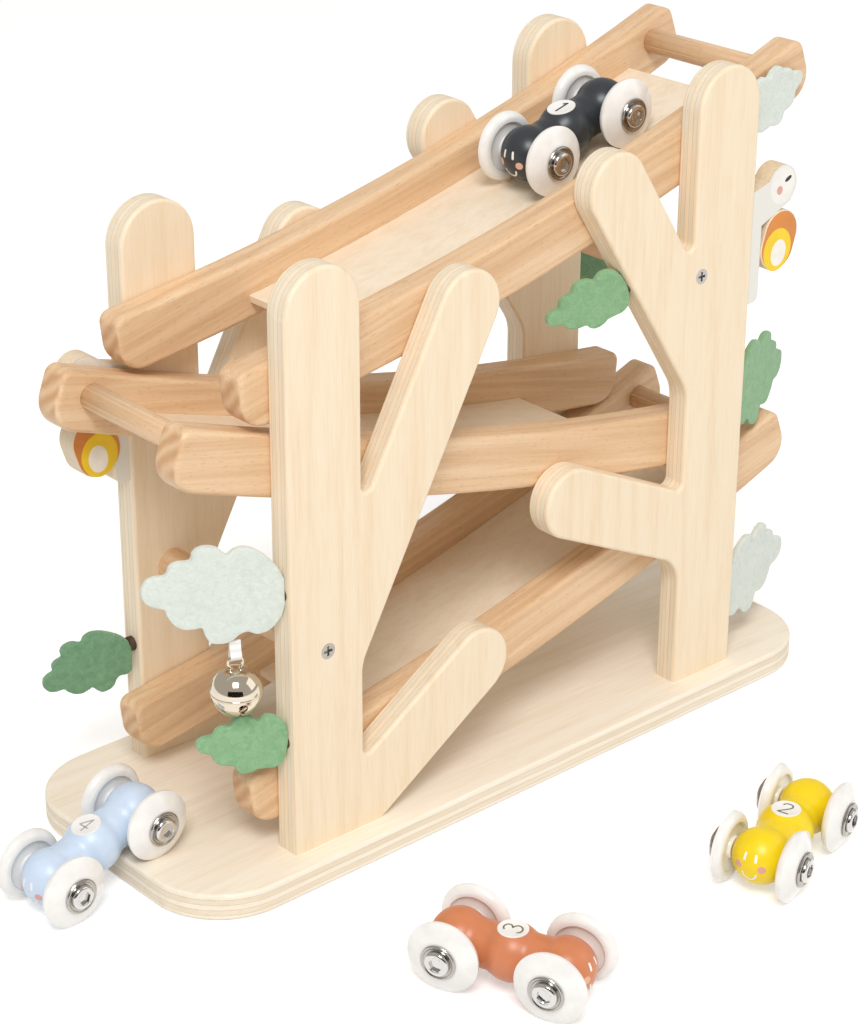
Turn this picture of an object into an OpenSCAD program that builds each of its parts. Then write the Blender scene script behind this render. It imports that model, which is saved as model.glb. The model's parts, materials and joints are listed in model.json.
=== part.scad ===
// Click clack track toy. Three curved beech ramps hang between two pairs of plywood trees
// that stand on a plywood base, with felt leaves, two snails, a bell and four small cars.
// Frame: +Z up, origin at the centre of the underside of the base, +X along the base
// towards the high end of the top ramp, +Y towards the back.

/* [Base] */
// Length of the base along X
base_length = 370; // [340:1:430]
// Depth of the base along Y
base_depth = 138; // [125:1:180]
// Thickness of the base
base_thickness = 12; // [9:0.5:18]
// Radius of the four corners of the base
base_corner_radius = 35; // [10:1:50]

/* [Trees] */
// Thickness of each plywood tree
tree_thickness = 12; // [9:0.5:15]
// Gap between the front trees and the back trees
tree_gap = 93; // [88:1:100]
// Width of each trunk
trunk_width = 37; // [32:0.5:42]
// Width of each branch
branch_width = 32; // [26:0.5:34]
// Radius in the sharp crotch above a branch
crotch_radius = 3; // [1.5:0.5:5]
// Radius of the wide bend under a tall branch
bend_radius = 18; // [6:1:24]
// Radius of the wide bend under a low branch
low_bend_radius = 5; // [2:1:8]
// Distance of each trunk's middle from the middle of the base
trunk_offset = 112.3; // [105:0.5:120]
// Height of the left tree above the base
left_tree_height = 252; // [235:1:265]
// Height of the right tree above the base
right_tree_height = 289; // [280:1:305]
// Reach of the left tree's tall branch, from the trunk's middle to the middle of its round tip
left_tall_reach = 76; // [60:1:85]
// Height of that tip above the base
left_tall_height = 216.6; // [205:1:230]
// Lean of that branch from upright, in degrees
left_tall_lean = 28.4; // [24:0.5:34]
// Reach of the left tree's low branch
left_low_reach = 83.5; // [65:1:90]
// Height of its tip above the base
left_low_height = 53.5; // [48:1:60]
// Lean of that branch from upright, in degrees
left_low_lean = 57.5; // [52:0.5:62]
// Reach of the right tree's tall branch
right_tall_reach = 66; // [55:1:75]
// Height of its tip above the base
right_tall_height = 248; // [238:1:255]
// Lean of that branch from upright, in degrees
right_tall_lean = 33; // [28:0.5:38]
// Reach of the right tree's low branch
right_low_reach = 87.3; // [70:1:92]
// Height of its tip above the base
right_low_height = 112; // [105:1:118]
// Lean of that branch from upright, in degrees
right_low_lean = 64.5; // [60:0.5:68]

/* [Ramps] */
// Radius of the long arc along the top edge of every rail
ramp_radius = 1284.5; // [1150:5:1500]
// Distance of each ramp's low end from the middle of the base
ramp_low_reach = 144.5; // [140:0.5:150]
// Distance of each ramp's high end from the middle of the base
ramp_high_reach = 169.6; // [160:0.2:178]
// Thickness of each rail
rail_thickness = 14; // [10:0.5:16]
// Height of each rail
rail_height = 25.4; // [22:0.2:27]
// Radius of the upper corners of a rail's ends
rail_top_radius = 5; // [2:0.5:8]
// Radius of the lower corners of a rail's ends
rail_bottom_radius = 12; // [6:0.5:14]
// Depth of the floor's upper face below the top of the rails
floor_drop = 14.5; // [12:0.1:16]
// Thickness of each floor panel
floor_thickness = 3; // [2:0.5:4]
// Depth of the groove in each rail that holds the floor
groove_depth = 4; // [2:0.5:6]
// Distance along the ramp from its low end to the floor's low end, where a car drops through
drop_gap = 65; // [50:1:70]
// Distance along the ramp from its high end to the floor's high end
floor_inset = 33.1; // [28:0.1:42]
// Gap between the top ramp's low end and the middle ramp under it
top_ramp_gap = 3; // [0.6:0.1:5]
// Slope of the top ramp at its low end, in degrees
top_ramp_slope = 6.5; // [6:0.1:7]
// Gap between the middle ramp's low end and the bottom ramp under it
middle_ramp_gap = 1.2; // [0.6:0.1:5]
// Slope of the middle ramp at its low end, in degrees
middle_ramp_slope = 5.9; // [5.5:0.1:6.5]
// Height of the bottom ramp's low end above the base
bottom_ramp_height = 36.1; // [32:0.1:40]
// Slope of the bottom ramp at its low end, in degrees
bottom_ramp_slope = 6.5; // [6:0.1:7.5]

/* [Bars and dowels] */
// Diameter of the stop bar at the high end of each ramp
bar_diameter = 11; // [8:0.5:13]
// Distance of the stop bar's middle from the high end of the rails, along the ramp
bar_inset = 16.1; // [14:0.1:20]
// Depth of the stop bar's middle below the top of the rails
bar_drop = 9.9; // [8:0.1:12]
// Depth of the stop bar's ends in the rails
bar_socket = 7; // [4:0.5:9]
// Diameter of the two cross dowels that hold the trees apart
dowel_diameter = 15; // [12:0.5:18]
// Height of the left cross dowel above the base
left_dowel_height = 89; // [84:0.5:95]
// Height of the right cross dowel above the base
right_dowel_height = 198.2; // [194:0.5:204]
// Shift of the right cross dowel from its trunk's middle, towards the middle of the base
right_dowel_shift = 13.5; // [8:0.5:14]

/* [Screws] */
// Diameter of a wood screw's head
screw_head = 7; // [6:0.1:8]
// Diameter of a wood screw's shank
screw_shank = 3.4; // [2.8:0.1:4]
// Length of a wood screw inside the piece that it holds
screw_grip = 20; // [12:1:26]
// Distance between the two screws that hold each tree to the base
base_screw_pitch = 20; // [14:1:24]

/* [Leaves] */
// Thickness of the felt
felt_thickness = 3; // [2:0.5:4]
// Length of a large leaf
large_leaf_length = 59; // [50:1:70]
// Length of a small leaf
small_leaf_length = 39; // [32:1:48]
// Length of the back left tree's leaf
back_left_leaf_length = 41; // [36:1:52]
// Height of the peg of the front left tree's upper leaf above the base
front_left_high_leaf_height = 118.5; // [108:0.5:128]
// Height of the peg of the front left tree's lower leaf
front_left_low_leaf_height = 52; // [48:1:62]
// Height of the peg of the back left tree's leaf
back_left_leaf_height = 55; // [50:1:64]
// Height of the peg of the leaf on the front right tree's tall branch
branch_leaf_height = 202; // [195:1:206]
// Height of the peg of the front right tree's upper leaf
front_right_high_leaf_height = 263; // [254:1:268]
// Height of the peg of the front right tree's middle leaf
front_right_middle_leaf_height = 132.5; // [124:1:142]
// Height of the peg of the front right tree's lower leaf
front_right_low_leaf_height = 34; // [28:1:46]
// Height of the peg of the back right tree's leaf
back_right_leaf_height = 165; // [155:1:175]
// Gap between most leaves and the tree
leaf_gap = 0.4; // [0.4:0.1:2]
// Gap between the back left tree's leaf and the tree
back_left_leaf_gap = 2.2; // [0.4:0.1:3]
// Diameter of the pegs that hold the leaves
peg_diameter = 6.5; // [5:0.5:8]
// Length of a peg outside the tree
peg_reach = 3.5; // [2:0.5:5]
// Depth of a peg in the tree
peg_socket = 8; // [5:0.5:10]

/* [Snails] */
// Thickness of the snails
snail_thickness = 9; // [5:0.5:11]
// Height of a snail
snail_height = 62; // [52:1:68]
// Extra thickness of the snail's shell on each side
shell_rise = 0.5; // [0.3:0.1:1]
// Height of the right snail's lower end above the base
right_snail_height = 177; // [168:1:184]
// Height of the left snail's lower end above the base
left_snail_height = 133.5; // [126:0.5:140]
// How much nearer to the tree the left snail's shell is
left_shell_inset = 3; // [0:0.5:5]
// How much lower the left snail's shell is
left_shell_drop = 6; // [0:0.5:8]

/* [Bell] */
// Diameter of the bell
bell_diameter = 21; // [19:0.5:25]
// Wall of the bell
bell_wall = 0.8; // [0.6:0.1:1.2]
// Width of the slots under the bell
bell_slot = 2.2; // [1.6:0.1:3]
// Diameter of the ball inside the bell
clapper_diameter = 6; // [5:0.5:7]
// Length of the bell's ribbon between the leaf and the bell's eye
ribbon_length = 7; // [6:0.5:14]
// Width of the ribbon
ribbon_width = 4; // [3:0.5:6]
// Thickness of the ribbon's two layers together
ribbon_thickness = 0.8; // [0.6:0.1:1.4]

/* [Cars] */
// Distance between a car's axles
wheelbase = 45.2; // [40:0.2:50]
// Diameter of a wheel
wheel_diameter = 30.4; // [28:0.2:34]
// Width of a wheel from its inner face to its outer seat
wheel_width = 7; // [6:0.5:9]
// Radius of the rounded tread of a wheel
tread_radius = 3.4; // [2:0.2:4]
// Radius of the domed outer face of a wheel
wheel_dome_radius = 28.4; // [24:0.2:40]
// Depth of the hollow in a wheel's inner face
wheel_hollow = 1.5; // [0.5:0.1:2.5]
// Diameter of the round lobes of a car's body
lobe_diameter = 24; // [22:0.2:27]
// Distance between the middles of the lobes
lobe_pitch = 22.6; // [20:0.2:25]
// Diameter of the necks between the lobes
neck_diameter = 19.2; // [17:0.2:22]
// Height of the body's middle above the axles
body_lift = 0.3; // [0:0.1:2]
// Width of the body between the flats that the wheels run against
body_flat_width = 23.2; // [21.6:0.2:23.6]
// Diameter of the flat seat for the number on top of a car
number_seat_diameter = 12.4; // [10:0.2:14]
// Diameter of the washer outside each wheel
washer_diameter = 15; // [12:0.5:17]
// Thickness of the washer
washer_thickness = 1.2; // [0.8:0.1:2]
// Diameter of an axle screw's round head
axle_head_diameter = 10.4; // [8:0.2:12]
// Height of that head
axle_head_height = 2; // [1.6:0.1:3]
// Diameter of an axle screw's shank
axle_shank = 4; // [3:0.1:5]
// Depth of an axle screw in the body
axle_grip = 8; // [6:0.5:10]

/* [Hidden] */

$fn = 72;
// Facets of the long arcs of the ramps
arc_facets = 900;
// Overrun of the cuts
overrun = 1;
// Excess of an arc's radius where the arc runs on into a straight edge
tangent_overrun = 0.003;
// Clearance round glued and screwed pieces
seat = 0.05;
// Radial clearance of a turning wheel on its screw
wheel_play = 0.06;
// Gap on each side of a wheel along its screw
side_play = 0.3;
ply = [0.93, 0.89, 0.79];
beech = [0.83, 0.62, 0.40];
steel = [0.75, 0.75, 0.76];
peg_colour = [0.30, 0.19, 0.12];
felt_pale = [0.86, 0.91, 0.88];
felt_mid = [0.55, 0.77, 0.59];
felt_dark = [0.43, 0.62, 0.48];
white = [0.96, 0.96, 0.95];

tree_face = tree_gap / 2;
right_dowel_offset = trunk_offset - right_dowel_shift;
tree_outer = tree_gap / 2 + tree_thickness;
tree_middle = tree_gap / 2 + tree_thickness / 2;
channel = tree_gap - 2 * rail_thickness;
trunk_edge = trunk_offset + trunk_width / 2;
wedge_share = 1.2;
wedge = (ramp_radius + rail_height) * wedge_share;

// Point at an angle from straight down and a distance from the middle of an arc
function polar(angle, reach) = [reach * sin(angle), -reach * cos(angle)];
// Point in space at an angle from straight down
function polar_point(angle, reach) = [reach * sin(angle), 0, -reach * cos(angle)];
// Angle of a distance along the top edge of a rail
function arc_angle(distance) = distance / ramp_radius * 180 / PI;
// Slope of a ramp at its high end
function high_slope(slope) = asin((ramp_high_reach + ramp_low_reach) / ramp_radius + sin(slope));
// Middle of a ramp's arc
function arc_middle(height, slope) = [
    -ramp_low_reach - ramp_radius * sin(slope),
    0,
    base_thickness + height + ramp_radius * cos(slope)
];

corner_reach = ramp_radius + rail_height - rail_bottom_radius;
// Height of a ramp's low end above the base, at a gap over the arc of the mirrored ramp below
function height_over(below, slope, gap) =
    let (corner = polar(slope + asin(rail_bottom_radius / corner_reach), corner_reach),
        across = corner[0] - ramp_low_reach - ramp_radius * sin(slope) + below[0],
        reach = ramp_radius - rail_bottom_radius - gap)
    below[2] - sqrt(reach * reach - across * across) - corner[1] - ramp_radius * cos(slope) - base_thickness;
bottom_middle = arc_middle(bottom_ramp_height, bottom_ramp_slope);
middle_middle = arc_middle(height_over(bottom_middle, middle_ramp_slope, middle_ramp_gap), middle_ramp_slope);
top_middle = arc_middle(height_over(middle_middle, top_ramp_slope, top_ramp_gap), top_ramp_slope);

// Base
module base_profile() {
    square([base_length - 2 * base_corner_radius, base_depth], center = true);
    square([base_length, base_depth - 2 * base_corner_radius], center = true);
    for (x = [-1, 1]) {
        for (y = [-1, 1]) {
            translate([x * (base_length / 2 - base_corner_radius), y * (base_depth / 2 - base_corner_radius)])
                circle(r = base_corner_radius);
        }
    }
}

module base_plate() {
    color(ply) difference() {
        linear_extrude(base_thickness) base_profile();
        all_base_screws(seat);
    }
}

// Trees, drawn with the trunk's middle at zero and the branches towards the right
module corner_fill(point, first, second, half_angle, radius) {
    run = radius / tan(half_angle);
    bisector = (first + second) / (2 * cos(half_angle));
    inward = bisector * overrun;
    difference() {
        polygon([
            point + first * run,
            point + second * run,
            point + second * run - inward,
            point - inward,
            point + first * run - inward
        ]);
        translate(point + bisector * radius / sin(half_angle)) circle(r = radius + tangent_overrun);
    }
}

module branch(reach, height, lean, bend) {
    half = branch_width / 2;
    along = [sin(lean), cos(lean)];
    across = [-cos(lean), sin(lean)];
    tip = [reach, height];
    run = reach / sin(lean);
    upper_run = (reach - half * cos(lean) - trunk_width / 2) / sin(lean);
    lower_run = (reach + half * cos(lean) - trunk_width / 2) / sin(lean);
    translate(tip) circle(r = half + tangent_overrun);
    translate(tip - along * run) circle(r = half);
    translate(tip) rotate(-lean) translate([-half, -run]) square([branch_width, run]);
    corner_fill(tip + across * half - along * upper_run, along, [0, 1], lean / 2, crotch_radius);
    corner_fill(tip - across * half - along * lower_run, [0, -1], along, 90 - lean / 2, bend);
}

module trunk(height) {
    translate([-trunk_width / 2, 0]) square([trunk_width, height - trunk_width / 2]);
    translate([0, height - trunk_width / 2]) circle(r = trunk_width / 2);
}

module left_outline() {
    translate([-trunk_offset, 0]) intersection() {
        union() {
            trunk(left_tree_height);
            branch(left_tall_reach, left_tall_height, left_tall_lean, bend_radius);
            branch(left_low_reach, left_low_height, left_low_lean, low_bend_radius);
        }
        translate([-base_length / 2, 0]) square([base_length, left_tree_height + overrun]);
    }
}

module right_outline() {
    translate([trunk_offset, 0]) mirror([1, 0]) union() {
        trunk(right_tree_height);
        branch(right_tall_reach, right_tall_height, right_tall_lean, bend_radius);
        branch(right_low_reach, right_low_height, right_low_lean, bend_radius);
    }
}

// Side is -1 for the front trees and 1 for the back trees
module upright(side) {
    shift = side < 0 ? -tree_face : tree_outer;
    translate([0, shift, base_thickness]) rotate([90, 0, 0]) linear_extrude(tree_thickness) children();
}

module left_tree(side) {
    color(ply) difference() {
        upright(side) left_outline();
        dowel_screw(-trunk_offset, left_dowel_height, side, seat);
        base_screw_pair(-1, side, seat);
        if (side < 0) {
            at_left_edge(side, front_left_high_leaf_height) peg_hole(seat);
            at_left_edge(side, front_left_low_leaf_height) peg_hole(seat);
        } else {
            at_left_edge(side, back_left_leaf_height) peg_hole(seat);
        }
    }
}

module right_tree(side) {
    color(ply) difference() {
        upright(side) right_outline();
        dowel_screw(right_dowel_offset, right_dowel_height, side, seat);
        base_screw_pair(1, side, seat);
        if (side < 0) {
            at_right_edge(side, front_right_high_leaf_height) peg_hole(seat);
            at_right_edge(side, front_right_middle_leaf_height) peg_hole(seat);
            at_right_edge(side, front_right_low_leaf_height) peg_hole(seat);
            at_branch_edge() peg_hole(seat);
        } else {
            at_right_edge(side, back_right_leaf_height) peg_hole(seat);
        }
    }
}

// Screws and dowels
screw_head_depth = (screw_head - screw_shank) / 2;
screw_tip = screw_shank;
recess_depth_share = 0.8;
recess_length_share = 0.62;
recess_width_share = 0.16;

// Countersunk screw with its head at zero, pointing up; a clearance above zero draws its hole
module wood_screw(length, clearance) {
    difference() {
        union() {
            cylinder(h = screw_head_depth, r1 = screw_head / 2 + clearance, r2 = screw_shank / 2 + clearance);
            if (clearance > 0) {
                cylinder(h = length + clearance, r = screw_shank / 2 + clearance);
                translate([0, 0, -overrun]) cylinder(h = overrun, r = screw_head / 2 + clearance);
            } else {
                cylinder(h = length - screw_tip, r = screw_shank / 2);
                translate([0, 0, length - screw_tip]) cylinder(h = screw_tip, r1 = screw_shank / 2, r2 = 0);
            }
        }
        if (clearance == 0) {
            for (turn = [0, 90]) {
                rotate(turn) cube([
                    screw_head * recess_length_share,
                    screw_head * recess_width_share,
                    2 * screw_head_depth * recess_depth_share
                ], center = true);
            }
        }
    }
}

module dowel_screw(x, height, side, clearance) {
    translate([x, side * tree_outer, base_thickness + height]) rotate([side * 90, 0, 0])
        wood_screw(tree_thickness + screw_grip, clearance);
}

module dowel_screws() {
    color(steel) for (side = [-1, 1]) {
        dowel_screw(-trunk_offset, left_dowel_height, side, 0);
        dowel_screw(right_dowel_offset, right_dowel_height, side, 0);
    }
}

module base_screw_pair(end, side, clearance) {
    for (shift = [-1, 1]) {
        translate([end * trunk_offset + shift * base_screw_pitch / 2, side * tree_middle, 0])
            wood_screw(base_thickness + screw_grip, clearance);
    }
}

module all_base_screws(clearance) {
    for (end = [-1, 1]) {
        for (side = [-1, 1]) {
            base_screw_pair(end, side, clearance);
        }
    }
}

module base_screws() {
    color(steel) all_base_screws(0);
}

module cross_dowel(x, height) {
    color(beech) difference() {
        translate([x, tree_face, base_thickness + height]) rotate([90, 0, 0])
            cylinder(h = tree_gap, r = dowel_diameter / 2);
        dowel_screw(x, height, -1, seat);
        dowel_screw(x, height, 1, seat);
    }
}

// Ramps, drawn round the middle of their arc
module arc_band(inner, outer, from, to) {
    intersection() {
        difference() {
            circle(r = outer, $fn = arc_facets);
            circle(r = inner, $fn = arc_facets);
        }
        polygon([[0, 0], polar(from, wedge), polar(to, wedge)]);
    }
}

// Cut that rounds one corner of a rail's end
module end_cut(angle, turn, reach, side, radius) {
    middle = reach + side * radius;
    swing = asin(radius / middle);
    outward = -turn * overrun * [cos(angle), sin(angle)];
    difference() {
        polygon([
            polar(angle, middle * cos(swing)) + outward,
            polar(angle + turn * swing, middle),
            polar(angle + turn * swing, reach - side * overrun),
            polar(angle, reach - side * overrun) + outward
        ]);
        translate(polar(angle + turn * swing, middle)) circle(r = radius);
    }
}

module rail_profile(slope) {
    bottom = ramp_radius + rail_height;
    high = high_slope(slope);
    difference() {
        arc_band(ramp_radius, bottom, slope, high);
        end_cut(slope, 1, ramp_radius, 1, rail_top_radius);
        end_cut(slope, 1, bottom, -1, rail_bottom_radius);
        end_cut(high, -1, ramp_radius, 1, rail_top_radius);
        end_cut(high, -1, bottom, -1, rail_bottom_radius);
    }
}

module floor_band(slope, clearance) {
    arc_band(
        ramp_radius + floor_drop - clearance,
        ramp_radius + floor_drop + floor_thickness + clearance,
        slope + arc_angle(drop_gap - clearance),
        high_slope(slope) - arc_angle(floor_inset - clearance)
    );
}

module bar_line(slope, clearance) {
    reach = channel / 2 + bar_socket + clearance;
    translate(polar_point(high_slope(slope) - arc_angle(bar_inset), ramp_radius + bar_drop))
        rotate([90, 0, 0]) translate([0, 0, -reach])
        cylinder(h = 2 * reach, r = bar_diameter / 2 + clearance);
}

// Side is -1 for the front rail and 1 for the back rail
module rail(slope, side) {
    outer = side < 0 ? -tree_face + rail_thickness : tree_face;
    color(beech) difference() {
        translate([0, outer, 0]) rotate([90, 0, 0]) linear_extrude(rail_thickness) rail_profile(slope);
        translate([0, channel / 2 + groove_depth + seat, 0]) rotate([90, 0, 0])
            linear_extrude(channel + 2 * (groove_depth + seat)) floor_band(slope, seat);
        bar_line(slope, seat);
    }
}

module ramp_floor(slope) {
    color(ply) translate([0, channel / 2 + groove_depth, 0]) rotate([90, 0, 0])
        linear_extrude(channel + 2 * groove_depth) floor_band(slope, 0);
}

module stop_bar(slope) {
    color(beech) bar_line(slope, 0);
}

module on_top() {
    translate(top_middle) children();
}

module on_middle() {
    mirror([1, 0, 0]) translate(middle_middle) children();
}

module on_bottom() {
    translate(bottom_middle) children();
}

// Leaves, drawn from the rounded base at zero to the tip along the first axis
// Each row is a lobe: distance from the base, distance from the midrib and radius
leaf_lobe_shares = [
    [0.27, 0.195, 0.125],
    [0.53, 0.235, 0.115],
    [0.74, 0.125, 0.09]
];
leaf_tip_shares = [0.905, 0.095];
leaf_base_shares = [0.17, 0.17];
leaf_body_shares = [
    [0.10, -0.14], [0.27, -0.28], [0.45, -0.25], [0.60, -0.22], [0.74, -0.16], [0.88, -0.085],
    [0.88, 0.085], [0.74, 0.16], [0.60, 0.22], [0.45, 0.25], [0.27, 0.28], [0.10, 0.14]
];
// Part of a leaf's length that its base is cut back to sit flat on the peg
leaf_seat_share = 0.015;

module leaf_profile(length) {
    for (side = [-1, 1]) {
        for (lobe = leaf_lobe_shares) {
            translate([lobe[0], side * lobe[1]] * length) circle(r = lobe[2] * length);
        }
    }
    translate([leaf_tip_shares[0] * length, 0]) circle(r = leaf_tip_shares[1] * length);
    translate([leaf_base_shares[0] * length, 0]) circle(r = leaf_base_shares[1] * length);
    polygon(leaf_body_shares * length);
}

// Felt leaf glued to the half-cut end of a peg, drawn at a left edge and pointing to the left
module leaf(swing, tilt, length, gap) {
    room = 2 * length;
    intersection() {
        rotate([0, 0, 180 - swing]) rotate([90, 0, 0]) translate([0, 0, -felt_thickness])
            linear_extrude(felt_thickness) rotate(tilt)
            translate([gap / cos(swing) - leaf_seat_share * length, 0]) leaf_profile(length);
        translate([-room - gap, -length, -length]) cube([room, room, room]);
    }
}

// Peg from inside the tree to its half-cut end
module peg(swing, gap) {
    room = peg_diameter + peg_reach;
    difference() {
        peg_hole(0);
        intersection() {
            rotate([0, 0, 180 - swing]) translate([-room, 0, -room]) cube([2 * room, room, 2 * room]);
            translate([-2 * room - gap, -room, -room]) cube([2 * room, 2 * room, 2 * room]);
        }
    }
}

module peg_hole(clearance) {
    translate([peg_socket + clearance, 0, 0]) rotate([0, -90, 0])
        cylinder(h = peg_socket + peg_reach + 2 * clearance, r = peg_diameter / 2 + clearance);
}

module at_left_edge(side, height) {
    translate([-trunk_edge, side * tree_middle, base_thickness + height]) children();
}

module at_right_edge(side, height) {
    mirror([1, 0, 0]) at_left_edge(side, height) children();
}

// Place along X of the lower edge of the front right tree's tall branch at the leaf's height
branch_edge_run = (right_tall_height - branch_width / 2 * sin(right_tall_lean) - branch_leaf_height)
    / cos(right_tall_lean);
branch_edge = trunk_offset - right_tall_reach - branch_width / 2 * cos(right_tall_lean)
    + branch_edge_run * sin(right_tall_lean);

module at_branch_edge() {
    translate([branch_edge, -tree_middle, base_thickness + branch_leaf_height])
        rotate([0, -right_tall_lean, 0]) children();
}

// Swing of each leaf towards the back and tilt of its tip upwards, in degrees
front_left_high_turn = [22, 10];
front_left_low_turn = [22, 8];
back_left_turn = [22, -20];
branch_leaf_turn = [22, 13];
front_right_high_turn = [8, 15];
front_right_middle_turn = [22, -3.5];
front_right_low_turn = [16, 0];
back_right_turn = [-8, 0];

module front_left_high_leaf() {
    color(felt_pale) at_left_edge(-1, front_left_high_leaf_height)
        leaf(front_left_high_turn[0], front_left_high_turn[1], large_leaf_length, leaf_gap);
}

module front_left_low_leaf() {
    color(felt_mid) at_left_edge(-1, front_left_low_leaf_height)
        leaf(front_left_low_turn[0], front_left_low_turn[1], small_leaf_length, leaf_gap);
}

module back_left_leaf() {
    color(felt_dark) at_left_edge(1, back_left_leaf_height)
        leaf(back_left_turn[0], back_left_turn[1], back_left_leaf_length, back_left_leaf_gap);
}

module front_right_branch_leaf() {
    color(felt_mid) at_branch_edge()
        leaf(branch_leaf_turn[0], branch_leaf_turn[1], small_leaf_length, leaf_gap);
}

module front_right_high_leaf() {
    color(felt_pale) at_right_edge(-1, front_right_high_leaf_height)
        leaf(front_right_high_turn[0], front_right_high_turn[1], small_leaf_length, leaf_gap);
}

module front_right_middle_leaf() {
    color(felt_mid) at_right_edge(-1, front_right_middle_leaf_height)
        leaf(front_right_middle_turn[0], front_right_middle_turn[1], large_leaf_length, leaf_gap);
}

module front_right_low_leaf() {
    color(felt_pale) at_right_edge(-1, front_right_low_leaf_height)
        leaf(front_right_low_turn[0], front_right_low_turn[1], large_leaf_length, leaf_gap);
}

module back_right_leaf() {
    color(felt_dark) at_right_edge(1, back_right_leaf_height)
        leaf(back_right_turn[0], back_right_turn[1], large_leaf_length, leaf_gap);
}

module leaf_pegs() {
    color(peg_colour) union() {
        at_left_edge(-1, front_left_high_leaf_height) peg(front_left_high_turn[0], leaf_gap);
        at_left_edge(-1, front_left_low_leaf_height) peg(front_left_low_turn[0], leaf_gap);
        at_left_edge(1, back_left_leaf_height) peg(back_left_turn[0], back_left_leaf_gap);
        at_branch_edge() peg(branch_leaf_turn[0], leaf_gap);
        at_right_edge(-1, front_right_high_leaf_height) peg(front_right_high_turn[0], leaf_gap);
        at_right_edge(-1, front_right_middle_leaf_height) peg(front_right_middle_turn[0], leaf_gap);
        at_right_edge(-1, front_right_low_leaf_height) peg(front_right_low_turn[0], leaf_gap);
        at_right_edge(1, back_right_leaf_height) peg(back_right_turn[0], leaf_gap);
    }
}

// Snails, drawn with the sole on the tree's edge at zero and the head at the top
sole_share = 0.113;
sole_top_share = 0.77;
head_radius_share = 0.15;
head_reach_share = 0.315;
head_height_share = 0.826;
neck_shares = [[0, 0.52], [0.42, 0.70], [0.34, 0.93], [0, 0.83]];
snail_shell_radius_share = 0.175;
snail_shell_low_shares = [0.29, 0.372];
snail_shell_high_shares = [0.32, 0.468];

module snail_body_profile() {
    sole = sole_share * snail_height;
    top = sole_top_share * snail_height;
    translate([0, sole / 2]) square([sole, top - sole / 2]);
    square([sole / 2, sole]);
    translate([sole / 2, sole / 2]) circle(r = sole / 2);
    translate([sole / 2, top]) circle(r = sole / 2);
    polygon(neck_shares * snail_height);
    translate([head_reach_share, head_height_share] * snail_height)
        circle(r = head_radius_share * snail_height);
}

module snail_shell_profile() {
    low = snail_shell_low_shares * snail_height;
    high = snail_shell_high_shares * snail_height;
    radius = snail_shell_radius_share * snail_height;
    run = norm(high - low);
    translate(low) circle(r = radius);
    translate(high) circle(r = radius);
    translate(low) rotate(-atan2(high[0] - low[0], high[1] - low[1])) translate([-radius, 0])
        square([2 * radius, run]);
}

module snail(shell_shift) {
    rotate([90, 0, 0]) union() {
        translate([0, 0, -snail_thickness / 2]) linear_extrude(snail_thickness) snail_body_profile();
        translate([0, 0, -snail_thickness / 2 - shell_rise])
            linear_extrude(snail_thickness + 2 * shell_rise) translate(shell_shift) snail_shell_profile();
    }
}

module right_snail() {
    color(beech) difference() {
        translate([trunk_edge, -tree_middle, base_thickness + right_snail_height]) snail([0, 0]);
        translate([trunk_edge - snail_height, -tree_middle - snail_height, base_thickness])
            cube([snail_height, 2 * snail_height, right_tree_height]);
    }
}

module left_snail() {
    color(beech) difference() {
        translate([-trunk_edge, tree_middle, base_thickness + left_snail_height])
            mirror([1, 0, 0]) snail([-left_shell_inset, -left_shell_drop]);
        translate([-trunk_edge, tree_middle - snail_height, base_thickness])
            cube([snail_height, 2 * snail_height, left_tree_height]);
    }
}

// Bell, drawn under the top of its ribbon at zero, with the leaf's length along the first axis
ribbon_place_share = 0.30;
ribbon_depth_share = 0.322;
eye_wire = 0.6;
eye_radius = 3;
ribbon_ring = 1.8;
slot_height_share = 0.3;
slot_hole_share = 0.9;
clapper_rest = 0.4;
bell_radius = bell_diameter / 2;
eye_middle = -ribbon_length - eye_radius;
bell_middle = eye_middle - eye_radius - bell_radius + bell_wall;
bell_gap = 0.4;

module at_bell() {
    swing = front_left_high_turn[0];
    tilt = front_left_high_turn[1];
    place = ribbon_place_share - leaf_seat_share;
    along = (place * cos(tilt) + ribbon_depth_share * sin(tilt)) * large_leaf_length;
    rise = (place * sin(tilt) - ribbon_depth_share * cos(tilt)) * large_leaf_length;
    at_left_edge(-1, front_left_high_leaf_height) rotate([0, 0, 180 - swing])
        translate([along, felt_thickness / 2, rise - bell_gap]) children();
}

module bell_shell() {
    hole = bell_slot * slot_hole_share;
    slot_top = -bell_radius * slot_height_share;
    color(steel) at_bell() difference() {
        union() {
            translate([0, 0, bell_middle]) sphere(r = bell_radius);
            translate([0, 0, eye_middle]) rotate([90, 0, 0])
                rotate_extrude() translate([eye_radius, 0]) circle(r = eye_wire, $fn = 24);
        }
        translate([0, 0, bell_middle]) union() {
            sphere(r = bell_radius - bell_wall);
            for (turn = [0, 90]) {
                rotate(turn) union() {
                    translate([-bell_radius - overrun, -bell_slot / 2, -bell_diameter])
                        cube([bell_diameter + 2 * overrun, bell_slot, bell_diameter + slot_top]);
                    translate([-bell_radius - overrun, 0, slot_top]) rotate([0, 90, 0])
                        cylinder(h = bell_diameter + 2 * overrun, r = hole);
                }
            }
        }
    }
}

module bell_clapper() {
    color(steel) at_bell()
        translate([0, 0, bell_middle - bell_radius + bell_wall + clapper_rest + clapper_diameter / 2])
        sphere(r = clapper_diameter / 2);
}

module bell_ribbon() {
    wire = eye_middle + eye_radius;
    color(white) at_bell() rotate([90, 0, 90]) translate([0, 0, -ribbon_width / 2])
        linear_extrude(ribbon_width) difference() {
            union() {
                translate([0, wire]) circle(r = ribbon_ring + ribbon_thickness / 2);
                translate([-ribbon_thickness / 2, wire]) square([ribbon_thickness, -wire]);
            }
            translate([0, wire]) circle(r = ribbon_ring);
        }
}

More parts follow.
